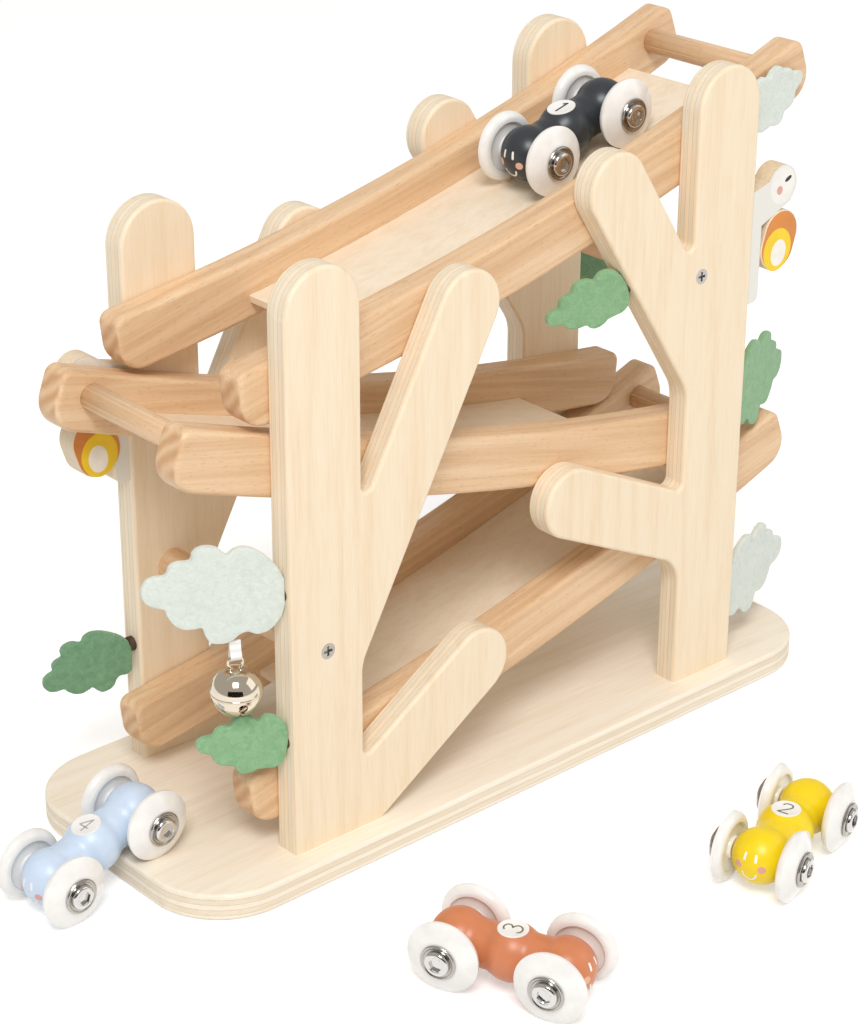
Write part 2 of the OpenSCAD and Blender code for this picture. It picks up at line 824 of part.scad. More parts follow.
// Cars, drawn with the front along the first axis and zero between the axles
flat = body_flat_width / 2;
wheel_face = flat + side_play;
washer_face = wheel_face + wheel_width + side_play;
head_face = washer_face + washer_thickness;
head_recess_share = 0.55;
seat_height = sqrt(pow(lobe_diameter / 2, 2) - pow(number_seat_diameter / 2, 2));
washer_edge_share = 0.5;
hollow_inner_share = 0.3;
hollow_outer_share = 0.7;

module axle_hole(x, side, clearance) {
    translate([x, side * (flat - axle_grip - clearance), 0]) rotate([-side * 90, 0, 0])
        cylinder(h = axle_grip + overrun, r = axle_shank / 2 + clearance);
}

module car_body() {
    difference() {
        translate([0, 0, body_lift]) rotate([0, 90, 0]) union() {
            for (step = [-1, 0, 1]) {
                translate([0, 0, step * lobe_pitch]) sphere(r = lobe_diameter / 2);
            }
            translate([0, 0, -lobe_pitch]) cylinder(h = 2 * lobe_pitch, r = neck_diameter / 2);
        }
        for (side = [-1, 1]) {
            translate([-wheelbase, side > 0 ? flat : -flat - wheelbase, -wheelbase])
                cube([2 * wheelbase, wheelbase, 2 * wheelbase]);
            axle_hole(wheelbase / 2, side, seat);
            axle_hole(-wheelbase / 2, side, seat);
        }
        translate([-lobe_pitch / 2, -lobe_pitch / 2, body_lift + seat_height])
            cube([lobe_pitch, lobe_pitch, lobe_pitch]);
    }
}

module wheel_profile() {
    radius = wheel_diameter / 2;
    intersection() {
        union() {
            translate([radius - tread_radius, tread_radius]) circle(r = tread_radius);
            square([radius - tread_radius, wheel_width]);
        }
        translate([0, wheel_width - sqrt(pow(wheel_dome_radius, 2) - pow(washer_diameter / 2, 2))])
            circle(r = wheel_dome_radius, $fn = 180);
        difference() {
            translate([axle_shank / 2 + wheel_play, 0]) square([radius, wheel_width]);
            translate([radius * hollow_inner_share, -overrun])
                square([radius * (hollow_outer_share - hollow_inner_share), overrun + wheel_hollow]);
        }
    }
}

module wheel(x, side) {
    color(white) translate([x * wheelbase / 2, side * wheel_face, 0]) rotate([-side * 90, 0, 0])
        rotate_extrude() wheel_profile();
}

module axle_screw() {
    head = axle_head_diameter / 2;
    difference() {
        union() {
            translate([0, 0, flat - axle_grip])
                cylinder(h = head_face - flat + axle_grip, r = axle_shank / 2);
            translate([0, 0, washer_face]) cylinder(h = washer_thickness * washer_edge_share,
                r = washer_diameter / 2);
            translate([0, 0, washer_face + washer_thickness * washer_edge_share])
                cylinder(h = washer_thickness * washer_edge_share, r1 = washer_diameter / 2,
                r2 = washer_diameter / 2 - washer_thickness);
            translate([0, 0, head_face]) cylinder(h = axle_head_height, r = head);
        }
        translate([0, 0, head_face]) cylinder(h = axle_head_height + overrun, r = head * head_recess_share);
    }
}

module axle_screws() {
    color(steel) for (x = [-1, 1]) {
        for (side = [-1, 1]) {
            translate([x * wheelbase / 2, 0, 0]) rotate([-side * 90, 0, 0]) axle_screw();
        }
    }
}

// Gap under the wheels of car 4, half on the base
rest_gap = 0.1;
// Gap under the wheels of car 1, which clears the facets of the curved floor
rolling_gap = 0.4;
// Place of car 1 on the top ramp, as a distance along it from its low end
car_1_run = 219.5;
car_1_side = -1.5;
car_2_place = [31.2, -181.2];
car_2_heading = -163.5;
car_3_place = [-113.7, -170.1];
car_3_heading = -68;
car_4_place = [-196.3, -8];
car_4_heading = -176;

module place_car_1() {
    angle = top_ramp_slope + arc_angle(car_1_run);
    reach = ramp_radius + floor_drop - wheel_diameter / 2 - rolling_gap;
    drop = sqrt(pow(reach, 2) - pow(wheelbase / 2, 2));
    on_top() rotate([0, -angle, 0]) translate([0, car_1_side, -drop]) rotate(180) children();
}

module place_on_table(place, heading) {
    translate([place[0], place[1], wheel_diameter / 2]) rotate(heading) children();
}

module place_car_2() {
    place_on_table(car_2_place, car_2_heading) children();
}

module place_car_3() {
    place_on_table(car_3_place, car_3_heading) children();
}

module place_car_4() {
    pitch = asin(base_thickness / wheelbase);
    translate([car_4_place[0], car_4_place[1], (wheel_diameter + base_thickness) / 2 + rest_gap])
        rotate(car_4_heading) rotate([0, pitch, 0]) children();
}

car_1_colour = [0.18, 0.20, 0.22];
car_2_colour = [0.96, 0.84, 0.03];
car_3_colour = [0.88, 0.50, 0.35];
car_4_colour = [0.74, 0.83, 0.94];

module car_1_body() {
    color(car_1_colour) place_car_1() car_body();
}

module car_2_body() {
    color(car_2_colour) place_car_2() car_body();
}

module car_3_body() {
    color(car_3_colour) place_car_3() car_body();
}

module car_4_body() {
    color(car_4_colour) place_car_4() car_body();
}

base_plate();
left_tree(-1);  // front_left_tree
right_tree(-1);  // front_right_tree
left_tree(1);  // back_left_tree
right_tree(1);  // back_right_tree
on_top() rail(top_ramp_slope, -1);  // top_front_rail
on_top() rail(top_ramp_slope, 1);  // top_back_rail
on_top() ramp_floor(top_ramp_slope);  // top_floor
on_middle() rail(middle_ramp_slope, -1);  // middle_front_rail
on_middle() rail(middle_ramp_slope, 1);  // middle_back_rail
on_middle() ramp_floor(middle_ramp_slope);  // middle_floor
on_bottom() rail(bottom_ramp_slope, -1);  // bottom_front_rail
on_bottom() rail(bottom_ramp_slope, 1);  // bottom_back_rail
on_bottom() ramp_floor(bottom_ramp_slope);  // bottom_floor
on_top() stop_bar(top_ramp_slope);  // top_stop_bar
on_middle() stop_bar(middle_ramp_slope);  // middle_stop_bar
on_bottom() stop_bar(bottom_ramp_slope);  // bottom_stop_bar
cross_dowel(-trunk_offset, left_dowel_height);  // left_cross_dowel
cross_dowel(right_dowel_offset, right_dowel_height);  // right_cross_dowel
dowel_screws();
base_screws();
front_left_high_leaf();
front_left_low_leaf();
back_left_leaf();
front_right_branch_leaf();
front_right_high_leaf();
front_right_middle_leaf();
front_right_low_leaf();
back_right_leaf();
leaf_pegs();
right_snail();
left_snail();
bell_shell();
bell_clapper();
bell_ribbon();
car_1_body();
place_car_1() wheel(1, 1);  // car_1_front_left_wheel
place_car_1() wheel(1, -1);  // car_1_front_right_wheel
place_car_1() wheel(-1, 1);  // car_1_rear_left_wheel
place_car_1() wheel(-1, -1);  // car_1_rear_right_wheel
place_car_1() axle_screws();  // car_1_axle_screws
car_2_body();
place_car_2() wheel(1, 1);  // car_2_front_left_wheel
place_car_2() wheel(1, -1);  // car_2_front_right_wheel
place_car_2() wheel(-1, 1);  // car_2_rear_left_wheel
place_car_2() wheel(-1, -1);  // car_2_rear_right_wheel
place_car_2() axle_screws();  // car_2_axle_screws
car_3_body();
place_car_3() wheel(1, 1);  // car_3_front_left_wheel
place_car_3() wheel(1, -1);  // car_3_front_right_wheel
place_car_3() wheel(-1, 1);  // car_3_rear_left_wheel
place_car_3() wheel(-1, -1);  // car_3_rear_right_wheel
place_car_3() axle_screws();  // car_3_axle_screws
car_4_body();
place_car_4() wheel(1, 1);  // car_4_front_left_wheel
place_car_4() wheel(1, -1);  // car_4_front_right_wheel
place_car_4() wheel(-1, 1);  // car_4_rear_left_wheel
place_car_4() wheel(-1, -1);  // car_4_rear_right_wheel
place_car_4() axle_screws();  // car_4_axle_screws
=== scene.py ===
"""Looks of the click clack track toy: plywood trees and base, curved beech ramps, felt leaves,
wooden snails, a bell and four beaded cars, on a white studio table."""

from __future__ import annotations

import json
import logging
import math
from collections import Counter
from collections.abc import Callable, Iterable, Sequence
from dataclasses import dataclass, field
from enum import Enum

import bmesh
import bpy
import numpy as np
from mathutils import Matrix, Vector, noise


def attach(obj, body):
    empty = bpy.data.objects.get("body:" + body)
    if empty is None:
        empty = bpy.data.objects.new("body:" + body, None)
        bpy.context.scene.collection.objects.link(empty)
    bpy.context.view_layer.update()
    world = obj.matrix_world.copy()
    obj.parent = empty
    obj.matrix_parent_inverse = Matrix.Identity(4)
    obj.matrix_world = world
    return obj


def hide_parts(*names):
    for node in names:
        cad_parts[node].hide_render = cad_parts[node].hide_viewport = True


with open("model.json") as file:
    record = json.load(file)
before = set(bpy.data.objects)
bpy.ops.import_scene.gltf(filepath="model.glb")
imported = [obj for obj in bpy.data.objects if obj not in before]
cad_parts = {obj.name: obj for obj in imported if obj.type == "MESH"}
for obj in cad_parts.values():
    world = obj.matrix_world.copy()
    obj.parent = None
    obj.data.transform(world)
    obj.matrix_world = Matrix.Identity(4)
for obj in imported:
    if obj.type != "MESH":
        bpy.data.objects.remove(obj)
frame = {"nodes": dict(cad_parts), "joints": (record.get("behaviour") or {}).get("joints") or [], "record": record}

LOG = logging.getLogger("track_toy")
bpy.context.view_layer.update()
MM = 0.001
ROUNDING_FACES = 4  # faces across each rounded edge
SHARP_TURN = 0.35  # cosine under which a drawn line keeps its corner
Points = Sequence[Sequence[float]]


# Colours and nodes


def linear(hex_colour: str) -> tuple[float, float, float, float]:
    """Turns an sRGB hex colour into linear values.

    Args:
        hex_colour: Six hex digits with a leading hash.

    Returns:
        Linear red, green and blue, and an alpha of one.
    """
    values = [int(hex_colour[i : i + 2], 16) / 255 for i in (1, 3, 5)]
    red, green, blue = (v / 12.92 if v <= 0.04045 else ((v + 0.055) / 1.055) ** 2.4 for v in values)
    return red, green, blue, 1.0


def set_values(node: bpy.types.Node, values: dict) -> None:
    """Sets a node's attributes and the values of its inputs.

    Args:
        node: The node.
        values: Attribute names, or input names and numbers, with their values.
    """
    for key, value in values.items():
        if isinstance(key, str) and hasattr(node, key):
            setattr(node, key, value)
        else:
            node.inputs[key].default_value = value


def add(tree: bpy.types.NodeTree, kind: str, settings: dict | None = None,
        links: dict | None = None) -> bpy.types.Node:
    """Adds one node with its settings and its incoming links.

    Args:
        tree: Node tree that gets the node.
        kind: Blender's name of the node type.
        settings: Attribute names, or input names and numbers, with their values.
        links: Input names or numbers with the sockets that feed them.

    Returns:
        The new node.
    """
    node = tree.nodes.new(kind)
    set_values(node, settings or {})
    for key, source in (links or {}).items():
        tree.links.new(source, node.inputs[key])
    return node


def fresh_nodes(owner: bpy.types.Material | bpy.types.World) -> bpy.types.NodeTree:
    """Empties the node tree of a material or a world.

    Args:
        owner: The material or world.

    Returns:
        Its node tree.
    """
    owner.use_nodes = True
    owner.node_tree.nodes.clear()
    return owner.node_tree


def ramp_stops(node: bpy.types.Node, stops: Sequence[tuple[float, str]], constant: bool = False) -> None:
    """Sets the stops of a colour ramp.

    Args:
        node: The colour ramp.
        stops: Position and sRGB hex colour of each stop, in order.
        constant: Whether the colour steps instead of blending.
    """
    ramp = node.color_ramp
    ramp.interpolation = "CONSTANT" if constant else "LINEAR"
    while len(ramp.elements) < len(stops):
        ramp.elements.new(1.0)
    for element, (place, colour) in zip(ramp.elements, stops):
        element.position = place
        element.color = linear(colour)


class Stack(Enum):
    """Direction in which the plies of a panel are stacked."""

    DEPTH = "Y"
    HEIGHT = "Z"


class Grain(Enum):
    """Direction of the wood's grain, as a turn of the pattern in radians about each axis."""

    ALONG = (0.0, 0.0, 0.0)
    ACROSS = (0.0, 0.0, math.pi / 2)
    UPRIGHT = (0.0, math.pi / 2, 0.0)


@dataclass(frozen=True)
class Finish:
    """A finish with its own node material.

    Attributes:
        name: Name of the material.
        slot: Material slot of the record that the finish belongs to.
    """

    name: str
    slot: str

    def material(self) -> bpy.types.Material:
        """Gives the material, built on its first use."""
        found = bpy.data.materials.get(self.name)
        if found is not None:
            return found
        made = bpy.data.materials.new(self.name)
        tree = fresh_nodes(made)
        output = add(tree, "ShaderNodeOutputMaterial")
        shader = add(tree, "ShaderNodeBsdfPrincipled")
        tree.links.new(shader.outputs[0], output.inputs[0])
        self.dress(tree, shader)
        return made

    def dress(self, tree: bpy.types.NodeTree, shader: bpy.types.Node) -> None:
        """Sets the shader's sockets and the nodes that feed them."""
        raise NotImplementedError

    def place(self, tree: bpy.types.NodeTree, sizes_mm: Sequence[float],
              turn: Sequence[float] = (0, 0, 0)) -> bpy.types.NodeSocket:
        """Gives object coordinates turned and divided by the pattern's sizes.

        Args:
            tree: Node tree of the material.
            sizes_mm: Size of the pattern along each axis of the turned pattern.
            turn: Turn about each axis in radians.

        Returns:
            The scaled coordinates.
        """
        where = add(tree, "ShaderNodeTexCoord")
        rotated = add(tree, "ShaderNodeVectorRotate", {"rotation_type": "EULER_XYZ", "Rotation": tuple(turn)},
                      {"Vector": where.outputs["Object"]})
        scale = tuple(1 / (size * MM) for size in sizes_mm)
        scaled = add(tree, "ShaderNodeVectorMath", {"operation": "MULTIPLY", 1: scale},
                     {0: rotated.outputs[0]})
        return scaled.outputs[0]

    def bump(self, tree: bpy.types.NodeTree, shader: bpy.types.Node, height: bpy.types.NodeSocket,
             depth_mm: float, strength: float) -> None:
        """Raises the surface by a pattern.

        Args:
            tree: Node tree of the material.
            shader: Shader that takes the normal.
            height: Pattern from zero to one.
            depth_mm: Depth of the pattern.
            strength: Strength of the bump.
        """
        node = add(tree, "ShaderNodeBump", {"Distance": depth_mm * MM, "Strength": strength},
                   {"Height": height})
        tree.links.new(node.outputs[0], shader.inputs["Normal"])


@dataclass(frozen=True)
class Plywood(Finish):
    """Birch and poplar plywood under clear varnish: pale faces, plies with thin glue lines on the edges.

    Attributes:
        stack: Direction of the stack.
        lowest_mm: Place of the panel's first face along the stack; the distance from zero counts.
        thickness_mm: Thickness of the panel.
        grain: Direction of the face's grain.
        pale: Colour of the faces and of every other ply.
    """

    stack: Stack
    lowest_mm: float
    thickness_mm: float
    grain: Grain
    pale: str = "#F9E8CE"

    def dress(self, tree: bpy.types.NodeTree, shader: bpy.types.Node) -> None:
        """Stacks five plies by object coordinates and draws faint grain on them."""
        where = add(tree, "ShaderNodeTexCoord")
        parts = add(tree, "ShaderNodeSeparateXYZ", links={0: where.outputs["Object"]})
        distance = add(tree, "ShaderNodeMath", {"operation": "ABSOLUTE"},
                       {0: parts.outputs[self.stack.value]})
        # Glue lines wander by a tenth of a ply over some 20 mm
        wander = add(tree, "ShaderNodeTexNoise", {"Scale": 50.0, "Detail": 2.0},
                     {"Vector": where.outputs["Object"]})
        shift = add(tree, "ShaderNodeMath", {"operation": "MULTIPLY_ADD", 1: 0.05, 2: -0.025},
                    {0: wander.outputs[0]})
        depth = add(tree, "ShaderNodeMapRange", {
            "From Min": self.lowest_mm * MM, "From Max": (self.lowest_mm + self.thickness_mm) * MM,
        }, {"Value": distance.outputs[0]})
        level = add(tree, "ShaderNodeMath", {"operation": "ADD"}, {0: depth.outputs[0], 1: shift.outputs[0]})
        plies = add(tree, "ShaderNodeValToRGB", links={0: level.outputs[0]})
        tan, line = "#F0E4D0", "#DACAAC"
        stops = [(0.0, self.pale)]
        for ply in range(1, 5):
            stops.append((ply / 5 - 0.010, line))
            stops.append((ply / 5 + 0.010, tan if ply % 2 else self.pale))
        ramp_stops(plies, stops, constant=True)
        # Face grain: soft streaks 2.5 to 5 mm wide and some 90 mm long, with finer ones of 0.8 by 16 mm
        height_mm = 2.5 if self.grain is Grain.ALONG else 5
        broad = add(tree, "ShaderNodeTexNoise",
                    {"Scale": 1.0, "Detail": 3.0, "Roughness": 0.55, "Distortion": 0.3},
                    {"Vector": self.place(tree, (90, 5, height_mm), self.grain.value)})
        fine = add(tree, "ShaderNodeTexNoise", {"Scale": 1.0, "Detail": 2.0},
                   {"Vector": self.place(tree, (16, 0.8, 0.8), self.grain.value)})
        broad_tone = add(tree, "ShaderNodeValToRGB", links={0: broad.outputs[0]})
        ramp_stops(broad_tone, [(0.30, "#F0E4D0"), (0.50, "#FAF6EF"), (0.72, "#FFFFFF")])
        fine_tone = add(tree, "ShaderNodeValToRGB", links={0: fine.outputs[0]})
        ramp_stops(fine_tone, [(0.30, "#F1E7D8"), (0.55, "#FFFFFF")])
        first = add(tree, "ShaderNodeMix", {"data_type": "RGBA", "blend_type": "MULTIPLY", 0: 0.45},
                    {6: plies.outputs[0], 7: broad_tone.outputs[0]})
        second = add(tree, "ShaderNodeMix", {"data_type": "RGBA", "blend_type": "MULTIPLY", 0: 0.3},
                     {6: first.outputs[2], 7: fine_tone.outputs[0]})
        tree.links.new(second.outputs[2], shader.inputs["Base Color"])
        set_values(shader, {"Roughness": 0.52})
        self.bump(tree, shader, fine.outputs[0], 0.03, 0.5)


@dataclass(frozen=True)
class Beech(Finish):
    """Steamed beech, planed and oiled: warm tan with many short dark flecks along the grain.

    Attributes:
        slope: Turn of the grain in the upright plane, in degrees, up towards the right.
        grain: Direction of the grain before that turn.
    """

    slope: float = 0.0
    grain: Grain = Grain.ALONG

    def dress(self, tree: bpy.types.NodeTree, shader: bpy.types.Node) -> None:
        """Draws long soft bands, short flecks and redder end grain."""
        turn = tuple(a + b for a, b in zip(self.grain.value, (0.0, math.radians(self.slope), 0.0)))
        bands = add(tree, "ShaderNodeTexNoise",
                    {"Scale": 1.0, "Detail": 3.0, "Roughness": 0.6, "Distortion": 0.4},
                    {"Vector": self.place(tree, (120, 4, 4), turn)})
        tone = add(tree, "ShaderNodeValToRGB", links={0: bands.outputs[0]})
        ramp_stops(tone, [(0.28, "#D6AE84"), (0.48, "#E4BF97"), (0.70, "#EECFAA")])
        # Flecks: medullary rays 2 to 4 mm long and 0.35 mm wide, drawn 0.5 mm wide so that they show
        flecks = add(tree, "ShaderNodeTexNoise", {"Scale": 1.0, "Detail": 1.5, "Roughness": 0.5},
                     {"Vector": self.place(tree, (4.0, 0.5, 0.5), turn)})
        dark = add(tree, "ShaderNodeMapRange", {"From Min": 0.60, "From Max": 0.74, "To Max": 0.45},
                   {"Value": flecks.outputs[0]})
        marked = add(tree, "ShaderNodeMix", {"data_type": "RGBA", 7: linear("#B07F53")},
                     {0: dark.outputs[0], 6: tone.outputs[0]})
        # End grain shows where the surface faces along the grain
        surface = add(tree, "ShaderNodeTexCoord")
        along = Matrix.Rotation(-math.radians(self.slope), 3, "Y") @ Vector((1, 0, 0))
        if self.grain is Grain.ACROSS:
            along = Vector((0, 1, 0))
        facing = add(tree, "ShaderNodeVectorMath", {"operation": "DOT_PRODUCT", 1: tuple(along)},
                     {0: surface.outputs["Normal"]})
        flat = add(tree, "ShaderNodeMath", {"operation": "ABSOLUTE"}, {0: facing.outputs["Value"]})
        end = add(tree, "ShaderNodeMapRange", {"From Min": 0.75, "From Max": 0.95, "To Max": 0.8},
                  {"Value": flat.outputs[0]})
        rings = add(tree, "ShaderNodeTexWave",
                    {"wave_type": "BANDS", "bands_direction": "DIAGONAL", "Scale": 1.0, "Distortion": 3.0,
                     "Detail": 2.0},
                    {"Vector": self.place(tree, (60, 14, 14), turn)})
        ring_tone = add(tree, "ShaderNodeValToRGB", links={0: rings.outputs[0]})
        ramp_stops(ring_tone, [(0.0, "#C7976B"), (0.5, "#D6AB80"), (1.0, "#E3BF98")])
        whole = add(tree, "ShaderNodeMix", {"data_type": "RGBA"},
                    {0: end.outputs[0], 6: marked.outputs[2], 7: ring_tone.outputs[0]})
        tree.links.new(whole.outputs[2], shader.inputs["Base Color"])
        set_values(shader, {"Roughness": 0.48})
        self.bump(tree, shader, flecks.outputs[0], 0.04, 0.5)


@dataclass(frozen=True)
class Felt(Finish):
    """Pressed wool felt, 3 mm thick: matt, mottled, with short fibres that catch the light.

    Attributes:
        colour: Colour of the wool.
        light: Colour of its paler fibres.
        dark: Colour of its darker fibres.
    """

    colour: str
    light: str
    dark: str

    def dress(self, tree: bpy.types.NodeTree, shader: bpy.types.Node) -> None:
        """Mottles the wool over 3 mm and roughens it with clumps of fibres 0.9 mm wide."""
        mottle = add(tree, "ShaderNodeTexNoise",
                     {"Scale": 1.0, "Detail": 4.0, "Roughness": 0.7, "Distortion": 0.8},
                     {"Vector": self.place(tree, (3.2, 3.2, 3.2))})
        tone = add(tree, "ShaderNodeValToRGB", links={0: mottle.outputs[0]})
        ramp_stops(tone, [(0.30, self.dark), (0.50, self.colour), (0.70, self.light)])
        tree.links.new(tone.outputs[0], shader.inputs["Base Color"])
        set_values(shader, {"Roughness": 0.95, "Specular IOR Level": 0.2, "Sheen Weight": 0.25,
                            "Sheen Roughness": 0.6})
        fibres = add(tree, "ShaderNodeTexNoise", {"Scale": 1.0, "Detail": 3.0, "Distortion": 1.5},
                     {"Vector": self.place(tree, (0.9, 0.9, 0.9))})
        self.bump(tree, shader, fibres.outputs[0], 0.35, 0.8)


@dataclass(frozen=True)
class Paint(Finish):
    """Water-based paint on turned or sawn wood: even colour with faint brush and grain relief.

    Attributes:
        colour: Colour of the paint.
        roughness: Roughness of the dry paint.
        coat: Weight of the varnish over it.
    """

    colour: str
    roughness: float = 0.42
    coat: float = 0.0

    def dress(self, tree: bpy.types.NodeTree, shader: bpy.types.Node) -> None:
        """Varies the paint by a few percent over 6 mm and adds a fine relief."""
        cloud = add(tree, "ShaderNodeTexNoise", {"Scale": 1.0, "Detail": 2.0},
                    {"Vector": self.place(tree, (6, 6, 6))})
        tone = add(tree, "ShaderNodeMapRange",
                   {"From Min": 0.3, "From Max": 0.7, "To Min": 0.95, "To Max": 1.03},
                   {"Value": cloud.outputs[0]})
        hue = add(tree, "ShaderNodeHueSaturation", {"Color": linear(self.colour)},
                  {"Value": tone.outputs[0]})
        tree.links.new(hue.outputs[0], shader.inputs["Base Color"])
        set_values(shader, {"Roughness": self.roughness, "Coat Weight": self.coat, "Coat Roughness": 0.12})
        relief = add(tree, "ShaderNodeTexNoise", {"Scale": 1.0, "Detail": 2.0},
                     {"Vector": self.place(tree, (1.4, 1.4, 1.4))})
        self.bump(tree, shader, relief.outputs[0], 0.02, 0.4)


@dataclass(frozen=True)
class FacedWood(Finish):
    """Sawn beech whose two flat faces are painted and whose sawn rim is bare.

    Attributes:
        face: Colour of the paint on the faces.
        rim: Colour of the bare rim.
    """

    face: str
    rim: str

    def dress(self, tree: bpy.types.NodeTree, shader: bpy.types.Node) -> None:
        """Paints where the surface faces the front or the back."""
        where = add(tree, "ShaderNodeTexCoord")
        parts = add(tree, "ShaderNodeSeparateXYZ", links={0: where.outputs["Normal"]})
        depth = add(tree, "ShaderNodeMath", {"operation": "ABSOLUTE"}, {0: parts.outputs["Y"]})
        painted = add(tree, "ShaderNodeMapRange", {"From Min": 0.80, "From Max": 0.92},
                      {"Value": depth.outputs[0]})
        # Bare rim: soft bands 2 mm wide and 40 mm long
        bands = add(tree, "ShaderNodeTexNoise", {"Scale": 1.0, "Detail": 2.0},
                    {"Vector": self.place(tree, (2, 2, 40))})
        tone = add(tree, "ShaderNodeMapRange",
                   {"From Min": 0.3, "From Max": 0.7, "To Min": 0.92, "To Max": 1.05},
                   {"Value": bands.outputs[0]})
        bare = add(tree, "ShaderNodeHueSaturation", {"Color": linear(self.rim)}, {"Value": tone.outputs[0]})
        both = add(tree, "ShaderNodeMix", {"data_type": "RGBA", 7: linear(self.face)},
                   {0: painted.outputs[0], 6: bare.outputs[0]})
        tree.links.new(both.outputs[2], shader.inputs["Base Color"])
        set_values(shader, {"Roughness": 0.5})
        self.bump(tree, shader, bands.outputs[0], 0.02, 0.4)


@dataclass(frozen=True)
class Metal(Finish):
    """Plated or polished metal.

    Attributes:
        colour: Colour of the plating.
        roughness: Roughness, from a mirror near zero.
        scratch_mm: Width of the faint polishing marks.
    """

    colour: str
    roughness: float
    scratch_mm: float = 0.8

    def dress(self, tree: bpy.types.NodeTree, shader: bpy.types.Node) -> None:
        """Sets a metal with a little uneven polish."""
        set_values(shader, {"Base Color": linear(self.colour), "Metallic": 1.0})
        sizes = (self.scratch_mm, self.scratch_mm, 3 * self.scratch_mm)
        marks = add(tree, "ShaderNodeTexNoise", {"Scale": 1.0, "Detail": 3.0},
                    {"Vector": self.place(tree, sizes)})
        polish = add(tree, "ShaderNodeMapRange",
                     {"To Min": self.roughness * 0.8, "To Max": self.roughness * 1.3},
                     {"Value": marks.outputs[0]})
        tree.links.new(polish.outputs[0], shader.inputs["Roughness"])
        self.bump(tree, shader, marks.outputs[0], 0.01, 0.3)


@dataclass(frozen=True)
class Ribbon(Finish):
    """White polyester satin ribbon: fine ribs of 0.5 mm across its width."""

    def dress(self, tree: bpy.types.NodeTree, shader: bpy.types.Node) -> None:
        """Draws the ribs as relief under a soft sheen, with painted shade in their troughs."""
        ribs = add(tree, "ShaderNodeTexWave", {"wave_type": "BANDS", "bands_direction": "Z", "Scale": 1.0},
                   {"Vector": self.place(tree, (10, 10, 10))})
        # Painted shade: the ribs' troughs are coloured darker and their crests paler, from the same waves as the
        # relief
        tone = add(tree, "ShaderNodeValToRGB", links={0: ribs.outputs[0]})
        ramp_stops(tone, [(0.0, "#E9E6E1"), (1.0, "#FBFAF8")])
        tree.links.new(tone.outputs[0], shader.inputs["Base Color"])
        set_values(shader, {"Roughness": 0.5, "Sheen Weight": 0.3})
        self.bump(tree, shader, ribs.outputs[0], 0.05, 0.6)


TREE_PLY = Plywood("varnished_plywood_tree", "plywood", Stack.DEPTH, 46.5, 12, Grain.UPRIGHT)
BASE_PLY = Plywood("varnished_plywood_base", "plywood", Stack.HEIGHT, 0, 12, Grain.ALONG, "#FAF1E2")
FLOOR_PLY = Plywood("thin_plywood_floor", "plywood", Stack.DEPTH, 0, 700, Grain.ALONG, "#F8EAD5")
BAR_BEECH = Beech("beech_bar", "beech", 0.0, Grain.ACROSS)
PALE_FELT = Felt("mint_wool_felt", "pale_felt", "#DEE6DE", "#E6ECE5", "#D4DDD5")
MID_FELT = Felt("leaf_green_wool_felt", "mid_green_felt", "#8AB788", "#96C194", "#7DAC7C")
DARK_FELT = Felt("pine_green_wool_felt", "dark_green_felt", "#729E79", "#7FA985", "#65916D")
CHROME = Metal("polished_chrome", "chrome_screw", "#CFCDCB", 0.10)
# The washers are the screws' chrome, painted darker and greyer to stand in for the dark reflections and shade
# round the screw heads
SHADED_WASHER_CHROME = Metal("nickel_washer_steel", "chrome_screw", "#AFABA6", 0.22)
ZINC = Metal("zinc_plated_steel", "zinc_screw", "#B9B6B1", 0.28)
BELL = Metal("nickel_bell_metal", "bell_metal", "#D8CDBB", 0.07, 2.0)
WHEEL_WHITE = Paint("white_wheel_enamel", "white_wheel", "#F5F3F0", 0.20, 0.5)
# Leaf pegs: plain dark brown all over
DARK_PEG_PAINT = Paint("dark_stained_beech", "dark_peg", "#4A3322", 0.6)
DISC_WHITE = Paint("white_disc_paint", "white_wheel", "#F6F4F1", 0.45)
INK = Paint("olive_grey_ink", "charcoal_paint", "#77745F", 0.6)
DARK_INK = Paint("charcoal_ink", "charcoal_paint", "#3B3C3E", 0.6)
PALE_INK = Paint("pale_grey_ink", "charcoal_paint", "#B4B3AC", 0.6)
SNAIL_WOOD = FacedWood("painted_snail_wood", "snail_paint", "#EAE8E1", "#EAD6B8")
CHEEK_PINK = Paint("pink_cheek_paint", "snail_paint", "#E3A79C", 0.55)
CHEEK_PEACH = Paint("peach_cheek_paint", "snail_paint", "#EAB79A", 0.5)
MARK_WHITE = Paint("white_mark_paint", "snail_paint", "#F7F4EE", 0.5)
MARK_BLACK = Paint("black_mark_paint", "charcoal_paint", "#26241F", 0.5)
SHELL_ORANGE = Paint("orange_shell_paint", "snail_paint", "#DC8B41", 0.5)
SHELL_YELLOW = Paint("yellow_shell_paint", "snail_paint", "#F9D42B", 0.5)
SHELL_WHITE = Paint("cream_shell_paint", "snail_paint", "#FAF5EA", 0.5)
CHARCOAL = Paint("charcoal_satin_paint", "charcoal_paint", "#33373C", 0.34)
YELLOW = Paint("yellow_satin_paint", "yellow_paint", "#F6D60C", 0.36)
ORANGE = Paint("orange_satin_paint", "orange_paint", "#D38258", 0.36)
SKY_BLUE = Paint("sky_blue_satin_paint", "blue_paint", "#CEDFF4", 0.36)
SATIN_RIBBON = Ribbon("white_satin_ribbon", "white_ribbon")


# Meshes


def body_of(node: str) -> str:
    """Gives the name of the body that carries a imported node."""
    for body, nodes in frame["record"]["behaviour"]["bodies"].items():
        if node in nodes:
            return body
    raise KeyError(node)


def mesh_object(name: str, vertices: Points | np.ndarray,
                faces: Iterable[Sequence[int]]) -> bpy.types.Object:
    """Makes a mesh object at the origin.

    Args:
        name: Name of the object.
        vertices: Points in metres in the toy's frame.
        faces: Rows of vertex numbers.

    Returns:
        The new object.
    """
    mesh = bpy.data.meshes.new(name)
    mesh.from_pydata([tuple(map(float, v)) for v in vertices], [], [tuple(f) for f in faces])
    mesh.update()
    made = bpy.data.objects.new(name, mesh)
    bpy.context.scene.collection.objects.link(made)
    return made


